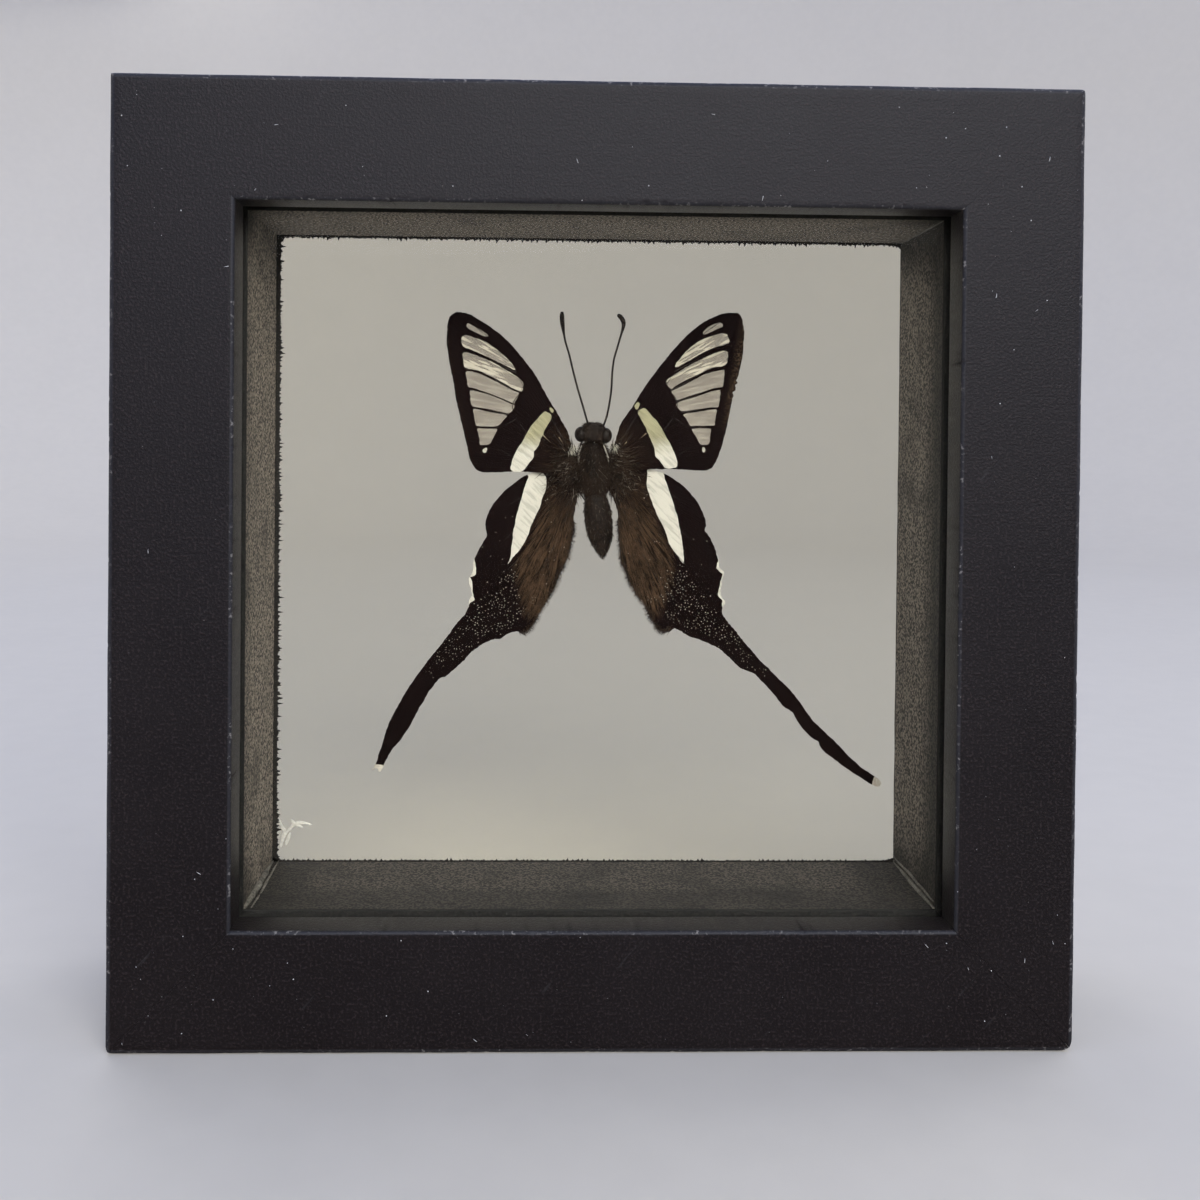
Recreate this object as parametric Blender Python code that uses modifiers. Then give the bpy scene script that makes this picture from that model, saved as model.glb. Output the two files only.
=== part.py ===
"""Framed butterfly specimen: a square double-glazed box frame with a swallowtail inside.

The frame stands on its bottom rail. X runs to the viewer's right, Y runs from the front
to the back, and Z is up. The origin is under the middle of the frame, at floor level.
Four mitred rails hold, from the front: a pane behind the lip, four spacer strips, a second
pane and four thin stop strips. The butterfly is glued by its thorax to the rear pane.
"""

import math

import bmesh
import bpy
from mathutils import Matrix, Vector

MM = 0.001

# ---- driving dimensions of the frame, in millimetres ----
FRAME_SIDE = 127.0
FRAME_DEPTH = 32.0
OPENING = 94.8
LIP_DEPTH = 5.0
REBATE = 5.0
GLASS = 2.0
SEAMED_EDGE = 0.15
SPACER_DEPTH = 19.0
STOP_DEPTH = 2.2
STOP_SETBACK = 1.3
EDGE_ROUND = 0.8
LIP_ROUND = 0.5
SPACER_ROUND = 0.25
GAP = 0.3

# ---- driving dimensions of the butterfly, in millimetres from the middle of the frame ----
# Half widths are pairs: how far down the piece, and its half width there.
WING_DEPTH = 23.0
WING_THICKNESS = 0.3
BODY_FLATTENING = 0.92
BODY_FACETS = 18
HEAD_TOP = (0.42, 19.5)
HEAD_HALF_WIDTHS = [
    (0.0, 0.0), (0.12, 1.0), (0.6, 2.1), (1.3, 2.75), (2.0, 2.7), (2.6, 2.0), (2.8, 1.2), (2.85, 0.0),
]
HEAD_FLATTENING = 0.58
THORAX_TOP = (0.45, 16.35)
THORAX_HALF_WIDTHS = [
    (0.0, 0.0), (0.15, 1.1), (0.9, 1.9), (2.6, 2.4), (4.6, 2.35), (6.4, 2.0), (7.3, 1.4), (7.5, 0.0),
]
ABDOMEN_TOP = (0.85, 8.5)
ABDOMEN_TIP = (2.0, -0.7)
ABDOMEN_HALF_WIDTHS = [
    (0.0, 0.0), (0.15, 1.2), (1.0, 1.8), (3.6, 2.1), (6.0, 1.85), (7.7, 1.15), (8.9, 0.4), (9.25, 0.0),
]
ANTENNA_RADIUS = 0.13
ANTENNA_LIFT = 0.3
CLUB_RADII = (0.26, 0.33, 0.17)
GLUE_RADIUS = 1.7
GLUE_TAPER = 0.8

# ---- depths of the layers behind the front face, worked out from the sizes above ----
FRONT_GLASS_DEPTH = LIP_DEPTH + GAP
SPACER_START = FRONT_GLASS_DEPTH + GLASS + GAP
REAR_GLASS_DEPTH = SPACER_START + SPACER_DEPTH + GAP
STOP_START = REAR_GLASS_DEPTH + GLASS + GAP

HALF_SIDE = FRAME_SIDE / 2
HALF_OPENING = OPENING / 2
HALF_REBATE = HALF_OPENING + REBATE
HALF_PANE = HALF_REBATE - GAP

PART = bpy.data.collections.new("framed_butterfly_specimen")
CUTTERS = bpy.data.collections.new("cutters")

# How far each side of the frame is turned from the top one, about the frame's own middle.
SIDE_TURNS = {"top": 0, "right": 90, "bottom": 180, "left": 270}


def clear_scene():
    """Remove what the scene holds and link the two collections."""
    for existing in list(bpy.data.objects):
        bpy.data.objects.remove(existing)
    bpy.context.scene.collection.children.link(PART)
    bpy.context.scene.collection.children.link(CUTTERS)


def frame_point(x, depth, z):
    """A point given in millimetres from the middle of the front face, as a place in metres."""
    return Vector((x, depth - FRAME_DEPTH / 2, z + HALF_SIDE)) * MM


def principled(name, colour, roughness, metallic=0.0, transmission=0.0, ior=1.5):
    """A Principled material with one plain finish."""
    material = bpy.data.materials.new(name)
    material.use_nodes = True
    shader = material.node_tree.nodes["Principled BSDF"]
    shader.inputs["Base Color"].default_value = (*colour, 1.0)
    shader.inputs["Roughness"].default_value = roughness
    shader.inputs["Metallic"].default_value = metallic
    shader.inputs["Transmission Weight"].default_value = transmission
    shader.inputs["IOR"].default_value = ior
    return material


def add_part(name, data, material):
    """An object of the specimen with its own material."""
    part = bpy.data.objects.new(name, data)
    data.materials.clear()
    data.materials.append(material)
    PART.objects.link(part)
    return part


def outline_curve(name, points, thickness, smooth, resolution=3):
    """A closed flat outline, filled on both sides and given its thickness along its own Z."""
    curve = bpy.data.curves.new(name, "CURVE")
    curve.dimensions = "2D"
    curve.fill_mode = "BOTH"
    curve.extrude = thickness / 2 * MM
    curve.resolution_u = resolution
    spline = curve.splines.new("BEZIER" if smooth else "POLY")
    spline.use_cyclic_u = True
    if smooth:
        spline.bezier_points.add(len(points) - 1)
        for knot, (x, y) in zip(spline.bezier_points, points):
            knot.co = (x * MM, y * MM, 0)
            knot.handle_left_type = "AUTO"
            knot.handle_right_type = "AUTO"
    else:
        spline.points.add(len(points) - 1)
        for knot, (x, y) in zip(spline.points, points):
            knot.co = (x * MM, y * MM, 0, 1)
    return curve


def mesh_of_curve(name, curve, place):
    """The evaluated mesh of a curve, with its loose caps welded on and its place kept."""
    holder = bpy.data.objects.new(name, curve)
    holder.matrix_world = place
    PART.objects.link(holder)
    bpy.context.view_layer.update()
    evaluated = holder.evaluated_get(bpy.context.evaluated_depsgraph_get())
    mesh = bpy.data.meshes.new_from_object(evaluated)
    bpy.data.objects.remove(holder)
    bpy.data.curves.remove(curve)
    mesh.name = name
    soup = bmesh.new()
    soup.from_mesh(mesh)
    bmesh.ops.remove_doubles(soup, verts=soup.verts, dist=0.00001)
    bmesh.ops.recalc_face_normals(soup, faces=soup.faces)
    soup.to_mesh(mesh)
    soup.free()
    return mesh


# ---------------------------------------------------------------- frame

def corner_arc(corner, toward_start, toward_end, radius, steps=4):
    """Points that round one square corner of a section, from one side to the next."""
    start = Vector(corner) + Vector(toward_start) * radius
    end = Vector(corner) + Vector(toward_end) * radius
    centre = start + Vector(toward_end) * radius
    points = []
    for step in range(steps + 1):
        turn = math.pi / 2 * step / steps
        reach = (start - centre) * math.cos(turn) + (end - centre) * math.sin(turn)
        points.append(tuple(centre + reach))
    return points


def rail_section():
    """The rail's section, as pairs: depth behind the front face, and height above the middle."""
    inward, outward = (0, -1), (0, 1)
    back, front = (1, 0), (-1, 0)
    points = corner_arc((0, HALF_SIDE), back, inward, EDGE_ROUND)
    points += corner_arc((0, HALF_OPENING), outward, back, LIP_ROUND)
    points += [(LIP_DEPTH, HALF_OPENING), (LIP_DEPTH, HALF_REBATE), (FRAME_DEPTH, HALF_REBATE)]
    points += corner_arc((FRAME_DEPTH, HALF_SIDE), inward, front, EDGE_ROUND)
    return points


def spacer_section():
    """The spacer's section, with its two inner edges a little rounded."""
    start, end = SPACER_START, SPACER_START + SPACER_DEPTH
    inward, outward = (0, -1), (0, 1)
    back, front = (1, 0), (-1, 0)
    points = [(start, HALF_PANE)]
    points += corner_arc((start, HALF_OPENING), outward, back, SPACER_ROUND, steps=2)
    points += corner_arc((end, HALF_OPENING), front, outward, SPACER_ROUND, steps=2)
    points.append((end, HALF_PANE))
    return points


def stop_section():
    """The stop strip's plain section."""
    start, end = STOP_START, STOP_START + STOP_DEPTH
    inner = HALF_OPENING + STOP_SETBACK
    return [(start, HALF_PANE), (start, inner), (end, inner), (end, HALF_PANE)]


def quadrant_cutter(side):
    """A wedge that fills one quarter of the frame, cut short of its neighbours by half a gap."""
    reach = FRAME_SIDE
    shift = GAP / math.sqrt(2)
    wedge = [(0, shift), (reach, reach + shift), (-reach, reach + shift)]
    curve = outline_curve(f"quadrant_{side}", wedge, FRAME_DEPTH * 2, smooth=False)
    upright = Matrix.Rotation(math.pi / 2, 4, "X")
    mesh = mesh_of_curve(curve.name, curve, Matrix.Identity(4))
    cutter = bpy.data.objects.new(f"quadrant_{side}", mesh)
    cutter.matrix_world = side_place(side) @ upright
    cutter.hide_render = True
    cutter.display_type = "WIRE"
    CUTTERS.objects.link(cutter)
    return cutter


def side_place(side):
    """The turn that carries the top strip's place to another side of the frame."""
    middle = Matrix.Translation(frame_point(0, FRAME_DEPTH / 2, 0))
    return middle @ Matrix.Rotation(math.radians(SIDE_TURNS[side]), 4, "Y")


def make_strip(name, side, section, cutter, material):
    """One straight strip of the given section, mitred at both ends."""
    centred = [(depth - FRAME_DEPTH / 2, height) for depth, height in section]
    curve = outline_curve(name, centred, FRAME_SIDE + 2 * REBATE, smooth=False)
    mesh = mesh_of_curve(name, curve, Matrix.Identity(4))
    strip = add_part(name, mesh, material)
    along = Matrix(((0, 0, 1, 0), (1, 0, 0, 0), (0, 1, 0, 0), (0, 0, 0, 1)))
    strip.matrix_world = side_place(side) @ along
    mitre = strip.modifiers.new("mitre", "BOOLEAN")
    mitre.operation = "INTERSECT"
    mitre.solver = "EXACT"
    mitre.object = cutter


def make_frame():
    """The twelve strips: rails, spacers and stops on each of the four sides."""
    rail_paint = principled("black satin paint", (0.022, 0.023, 0.027), 0.42)
    spacer_paint = principled("rough dark stain", (0.052, 0.044, 0.038), 0.85)
    stop_paint = principled("black stop strip", (0.018, 0.018, 0.018), 0.7)
    for side in SIDE_TURNS:
        cutter = quadrant_cutter(side)
        make_strip(f"rail_{side}", side, rail_section(), cutter, rail_paint)
        make_strip(f"spacer_{side}", side, spacer_section(), cutter, spacer_paint)
        make_strip(f"back_stop_{side}", side, stop_section(), cutter, stop_paint)


def make_pane(name, depth, material):
    """A square sheet of glass with its edges taken off."""
    mesh = bpy.data.meshes.new(name)
    soup = bmesh.new()
    bmesh.ops.create_cube(soup, size=1)
    size = Vector((HALF_PANE * 2, GLASS, HALF_PANE * 2)) * MM
    bmesh.ops.scale(soup, verts=soup.verts, vec=size)
    soup.to_mesh(mesh)
    soup.free()
    pane = add_part(name, mesh, material)
    pane.location = frame_point(0, depth + GLASS / 2, 0)
    bevel = pane.modifiers.new("seamed edge", "BEVEL")
    bevel.width = SEAMED_EDGE * MM
    bevel.segments = 1


# ---------------------------------------------------------------- butterfly

# Each wing outline runs once round the wing, in millimetres from the middle of the frame.
FOREWING_LEFT = [
    (-2.6, 15.4), (-3.3, 17.9), (-5.0, 20.9), (-8.0, 26.0), (-11.5, 30.5), (-15.1, 33.6),
    (-18.2, 35.35), (-20.2, 35.6), (-21.2, 34.6), (-21.5, 31.8), (-20.9, 27.5), (-20.0, 22.8),
    (-18.8, 17.8), (-18.1, 14.6), (-17.2, 12.7), (-15.2, 12.0), (-11.0, 12.05), (-6.5, 12.0),
    (-3.2, 11.2), (-2.5, 12.6),
]
FOREWING_RIGHT = [
    (3.5, 15.6), (4.2, 18.6), (6.2, 21.9), (9.0, 26.3), (12.1, 30.3), (15.8, 33.95),
    (19.2, 35.8), (21.4, 36.0), (22.6, 34.6), (22.75, 31.6), (22.2, 27.6), (21.1, 23.0),
    (20.2, 18.5), (19.3, 15.1), (18.2, 13.0), (16.4, 12.45), (12.0, 12.7), (8.0, 12.5),
    (4.2, 11.4), (3.3, 12.8),
]
HINDWING_LEFT = [
    (-2.5, 11.0), (-6.8, 12.3), (-9.6, 11.6), (-12.7, 9.2), (-14.8, 6.5), (-15.5, 4.2),
    (-15.3, 2.5), (-16.5, 0.5), (-17.2, -1.2), (-17.2, -3.0), (-17.9, -4.0), (-17.4, -5.8),
    (-17.9, -7.6), (-19.5, -10.4), (-22.2, -14.1), (-25.2, -18.0), (-27.6, -21.7),
    (-29.5, -25.3), (-30.6, -28.8), (-31.5, -31.8), (-30.7, -32.0), (-29.3, -29.8),
    (-26.7, -26.3), (-24.6, -22.5), (-22.5, -19.2), (-20.4, -17.8), (-17.6, -15.0),
    (-14.6, -13.2), (-11.8, -12.1), (-9.6, -11.9), (-8.1, -10.3), (-6.2, -6.9),
    (-4.4, -3.0), (-3.1, 0.4), (-2.5, 3.4), (-2.3, 6.2), (-2.1, 8.6),
]
HINDWING_RIGHT = [
    (3.6, 11.0), (8.4, 12.8), (11.4, 12.0), (14.3, 9.9), (16.7, 6.9), (17.5, 4.5),
    (17.4, 3.4), (18.7, 1.3), (19.4, -0.6), (19.4, -2.0), (20.2, -2.9), (19.8, -5.2),
    (20.3, -7.0), (20.2, -9.2), (22.9, -12.5), (27.1, -17.1), (32.0, -22.3), (36.0, -26.8),
    (40.1, -30.8), (43.2, -33.2), (44.2, -34.3), (43.2, -34.6), (38.5, -31.7),
    (35.1, -28.9), (31.8, -25.4), (28.4, -21.5), (25.1, -18.0), (22.5, -16.8),
    (18.8, -13.8), (15.2, -12.4), (13.0, -11.3), (11.3, -11.6), (9.9, -10.6),
    (8.4, -7.6), (6.2, -4.4), (4.9, -1.0), (4.45, 3.0), (4.2, 6.2), (3.4, 8.6),
]

ANTENNA_LEFT = [(-0.35, 20.0), (-1.2, 22.0), (-2.0, 24.6), (-2.8, 27.6), (-3.5, 30.3), (-4.1, 32.6)]
CLUB_LEFT = [(-4.3, 33.9), (-4.4, 35.0), (-4.4, 35.8)]
ANTENNA_RIGHT = [(2.15, 19.8), (2.75, 22.3), (3.05, 24.7), (3.2, 27.2), (3.65, 30.0), (4.35, 32.4)]
CLUB_RIGHT = [(4.7, 33.6), (4.6, 34.6), (4.0, 35.5)]


def make_wing(name, outline, depth, material):
    """One wing, a thin sheet that faces the front."""
    curve = outline_curve(name, outline, WING_THICKNESS, smooth=True)
    wing = add_part(name, curve, material)
    wing.rotation_euler = (math.pi / 2, 0, 0)
    wing.location = frame_point(0, depth, 0)


def make_turned_body(name, top, half_widths, depth, flattening, material, tilt=0.0):
    """Part of the body, turned from its half widths down its length and flattened in depth."""
    mesh = bpy.data.meshes.new(name)
    soup = bmesh.new()
    rings = [soup.verts.new((half * MM, 0, -along * MM)) for along, half in half_widths]
    for upper, lower in zip(rings, rings[1:]):
        soup.edges.new((upper, lower))
    soup.to_mesh(mesh)
    soup.free()
    body = add_part(name, mesh, material)
    body.scale = (1, flattening, 1)
    body.rotation_euler = (0, tilt, 0)
    body.location = frame_point(top[0], depth, top[1])
    turn = body.modifiers.new("turned", "SCREW")
    turn.steps = BODY_FACETS
    turn.render_steps = BODY_FACETS
    turn.use_merge_vertices = True
    turn.merge_threshold = 0.00001
    turn.use_smooth_shade = True


def make_abdomen(material):
    """The abdomen, leaning to one side."""
    run = Vector(ABDOMEN_TOP) - Vector(ABDOMEN_TIP)
    tilt = math.atan2(run.x, run.y)
    make_turned_body(
        "abdomen", ABDOMEN_TOP, ABDOMEN_HALF_WIDTHS, WING_DEPTH, BODY_FLATTENING, material, tilt,
    )


def make_antenna(name, shaft, club, material):
    """A thin stalk that thickens into a club at its end."""
    curve = bpy.data.curves.new(name, "CURVE")
    curve.dimensions = "3D"
    curve.bevel_depth = ANTENNA_RADIUS * MM
    curve.bevel_resolution = 2
    curve.use_fill_caps = True
    curve.resolution_u = 2
    spline = curve.splines.new("POLY")
    route = shaft + club
    radii = [ANTENNA_RADIUS] * len(shaft) + list(CLUB_RADII)
    spline.points.add(len(route) - 1)
    for knot, (x, z), radius in zip(spline.points, route, radii):
        knot.co = (*frame_point(x, WING_DEPTH - ANTENNA_LIFT, z), 1)
        knot.radius = radius / ANTENNA_RADIUS
    add_part(name, curve, material)


def make_butterfly():
    """The swallowtail, spread flat and facing the front pane."""
    scales = principled("dark brown wing scales", (0.020, 0.014, 0.011), 0.7)
    fur = principled("black body hair", (0.014, 0.011, 0.010), 0.9)
    half = WING_THICKNESS / 2
    forewing_depth = WING_DEPTH - half - GAP / 2
    hindwing_depth = WING_DEPTH + half + GAP / 2
    make_wing("forewing_left", FOREWING_LEFT, forewing_depth, scales)
    make_wing("forewing_right", FOREWING_RIGHT, forewing_depth, scales)
    make_wing("hindwing_left", HINDWING_LEFT, hindwing_depth, scales)
    make_wing("hindwing_right", HINDWING_RIGHT, hindwing_depth, scales)
    make_turned_body("head", HEAD_TOP, HEAD_HALF_WIDTHS, WING_DEPTH, HEAD_FLATTENING, fur)
    make_turned_body("thorax", THORAX_TOP, THORAX_HALF_WIDTHS, WING_DEPTH, BODY_FLATTENING, fur)
    make_abdomen(fur)
    make_antenna("antenna_left", ANTENNA_LEFT, CLUB_LEFT, fur)
    make_antenna("antenna_right", ANTENNA_RIGHT, CLUB_RIGHT, fur)


def make_glue_dot():
    """The clear dab between the back of the thorax and the rear pane."""
    glue = principled("dried glue", (0.75, 0.7, 0.6), 0.3, transmission=0.8)
    fullest_along, fullest = max(THORAX_HALF_WIDTHS, key=lambda ring: ring[1])
    start = WING_DEPTH + fullest * BODY_FLATTENING + GAP
    thickness = REAR_GLASS_DEPTH - GAP - start
    mesh = bpy.data.meshes.new("glue_dot")
    soup = bmesh.new()
    bmesh.ops.create_cone(
        soup, cap_ends=True, segments=24, radius1=GLUE_RADIUS * MM,
        radius2=GLUE_RADIUS * MM * GLUE_TAPER, depth=thickness * MM,
    )
    soup.to_mesh(mesh)
    soup.free()
    dot = add_part("glue_dot", mesh, glue)
    dot.rotation_euler = (math.pi / 2, 0, 0)
    dot.location = frame_point(THORAX_TOP[0], start + thickness / 2, THORAX_TOP[1] - fullest_along)


def main():
    clear_scene()
    make_frame()
    glass = principled("window glass", (0.95, 0.96, 0.95), 0.03, transmission=1.0)
    make_pane("front_glass", FRONT_GLASS_DEPTH, glass)
    make_pane("rear_glass", REAR_GLASS_DEPTH, glass)
    make_butterfly()
    make_glue_dot()


main()
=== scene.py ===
"""Looks for the framed butterfly specimen: a double-glazed black box frame with a swallowtail.

Run as a script in Blender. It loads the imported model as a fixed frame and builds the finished
pieces round it: painted rails, stained spacers, stop strips, glass, and the butterfly with its
scales, hair, veins, antennae and the glue that holds it. Lengths in the drawings below are in
millimetres from the middle of the front face: across, height, and depth behind the face.
"""

import random
from math import atan2, copysign, cos, exp, pi, radians, sin, sqrt

import bmesh
import bpy
from bpy.props import FloatProperty, FloatVectorProperty, IntProperty, PointerProperty
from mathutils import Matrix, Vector, kdtree, noise
from mathutils.geometry import delaunay_2d_cdt


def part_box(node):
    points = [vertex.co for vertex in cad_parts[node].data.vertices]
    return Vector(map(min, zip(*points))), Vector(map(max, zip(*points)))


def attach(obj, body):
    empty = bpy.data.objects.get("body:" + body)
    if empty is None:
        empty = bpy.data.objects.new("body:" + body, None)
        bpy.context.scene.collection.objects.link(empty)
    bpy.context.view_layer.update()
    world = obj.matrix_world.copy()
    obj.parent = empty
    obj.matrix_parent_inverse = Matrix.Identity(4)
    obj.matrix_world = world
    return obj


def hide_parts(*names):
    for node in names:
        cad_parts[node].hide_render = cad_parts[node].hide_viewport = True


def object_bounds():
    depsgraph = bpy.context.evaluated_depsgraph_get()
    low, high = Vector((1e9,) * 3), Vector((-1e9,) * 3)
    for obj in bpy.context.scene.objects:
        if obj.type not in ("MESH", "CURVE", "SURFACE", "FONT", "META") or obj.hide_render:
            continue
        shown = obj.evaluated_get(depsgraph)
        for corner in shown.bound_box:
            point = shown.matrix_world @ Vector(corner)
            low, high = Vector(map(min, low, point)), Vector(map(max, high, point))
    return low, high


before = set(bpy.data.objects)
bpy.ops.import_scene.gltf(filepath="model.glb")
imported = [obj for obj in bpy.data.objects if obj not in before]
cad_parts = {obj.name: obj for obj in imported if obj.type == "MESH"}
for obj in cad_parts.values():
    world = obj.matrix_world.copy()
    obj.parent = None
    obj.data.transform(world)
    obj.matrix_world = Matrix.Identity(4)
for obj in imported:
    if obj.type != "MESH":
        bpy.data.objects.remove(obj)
CAD_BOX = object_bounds()

bl_info = {
    "name": "Framed Butterfly Specimen",
    "version": (1, 0, 0),
    "blender": (4, 5, 0),
    "location": "View3D > Sidebar > Specimen",
    "description": "Builds the finished looks of a framed butterfly specimen round its CAD frame",
    "category": "Object",
}

MM = 0.001
MIDDLE = Vector((
    (CAD_BOX[0].x + CAD_BOX[1].x) / 2,
    CAD_BOX[0].y,
    (CAD_BOX[0].z + CAD_BOX[1].z) / 2,
))
SIDES = {"top": 0, "right": 90, "bottom": 180, "left": 270}
CORNERS = {
    "top": ("top_left", "top_right"),
    "right": ("top_right", "bottom_right"),
    "bottom": ("bottom_right", "bottom_left"),
    "left": ("bottom_left", "top_left"),
}
# How far each mitre gapes and how round each outer corner is worn, in millimetres.
MITRE_OPENINGS = {"top_left": 0.0, "top_right": 0.012, "bottom_right": 0.03, "bottom_left": 0.012}
CORNER_ROUNDS = {"top_left": 0.5, "top_right": 0.9, "bottom_right": 2.2, "bottom_left": 1.3}


def drawn(x, depth, height):
    """A point of the drawings, as a place in metres."""
    return MIDDLE + Vector((x, depth, height)) * MM


def node_box(node):
    """A CAD node's lowest and highest corners, in the drawings' millimetres."""
    low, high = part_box(node)
    return (low - MIDDLE) / MM, (high - MIDDLE) / MM


def middle_depth(node):
    """How far behind the front face the middle of a CAD node lies."""
    low, high = node_box(node)
    return (low.y + high.y) / 2


PANE_GAP = 0.3
(_, _, LIP_HEIGHT), (_, FRAME_DEPTH, HALF_SIDE) = node_box("rail_top")
(_, FRONT_GLASS_START, _), (_, _, HALF_PANE) = node_box("front_glass")
(_, SPACER_START, HALF_OPENING), (_, SPACER_END, _) = node_box("spacer_top")
(_, STOP_START, STOP_HEIGHT), (_, STOP_END, _) = node_box("back_stop_top")
REAR_GLASS_FRONT = node_box("rear_glass")[0].y
LIP_DEPTH = FRONT_GLASS_START - PANE_GAP
HALF_REBATE = HALF_PANE + PANE_GAP


# ---- drawings of the butterfly

WINGS = ("left", "right")


def path(*numbers):
    """The points of a drawn line, from how far across and how high each one is, in turn."""
    return list(zip(numbers[::2], numbers[1::2]))


FOREWING = {
    "left": path(
        -19.9, 35.7, -18.2, 35.4, -16.9, 34.7, -15.1, 33.6, -13.0, 32.0, -11.5, 30.5, -9.5, 28.1, -8.0, 26.0,
        -7.0, 24.2, -6.0, 22.5, -5.0, 20.9, -4.2, 19.5, -3.6, 18.5, -3.2, 17.5, -2.8, 15.9, -2.0, 14.6,
        -1.6, 12.8, -2.4, 11.4, -4.2, 11.2, -6.5, 11.9, -9.0, 12.05, -11.8, 12.1, -15.0, 11.95, -16.6, 12.15,
        -17.3, 12.8, -17.9, 14.0, -18.2, 15.3, -18.6, 17.0, -19.1, 19.0, -19.6, 21.0, -20.1, 23.2,
        -20.4, 25.2, -20.8, 27.0, -21.1, 28.5, -21.4, 30.5, -21.5, 31.8, -21.4, 33.0, -21.3, 34.2,
        -21.0, 35.0, -20.5, 35.4,
    ),
    "right": path(
        3.4, 15.9, 3.9, 17.5, 4.3, 18.9, 4.9, 20.1, 6.2, 21.9, 7.2, 23.6, 8.2, 25.2, 9.6, 27.1, 10.5, 28.3,
        12.1, 30.3, 13.8, 32.2, 15.0, 33.3, 16.5, 34.5, 18.0, 35.3, 19.5, 35.9, 21.0, 36.1, 21.8, 36.0,
        22.4, 35.3, 22.6, 34.3, 22.8, 33.0, 22.7, 31.5, 22.65, 30.2, 22.4, 28.7, 22.1, 27.3, 21.9, 26.5,
        21.7, 26.0, 21.9, 25.6, 21.5, 25.3, 21.6, 24.6, 21.1, 24.2, 21.3, 23.8, 21.1, 23.2, 21.0, 22.5,
        20.6, 20.5, 20.2, 18.5, 19.8, 16.8, 19.3, 15.2, 18.8, 13.9, 18.2, 13.0, 17.5, 12.6, 16.5, 12.5,
        14.5, 12.6, 12.8, 12.65, 11.2, 12.7, 8.6, 12.6, 5.6, 12.0, 3.6, 11.4, 2.5, 12.6, 2.8, 14.6,
    ),
}
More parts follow.
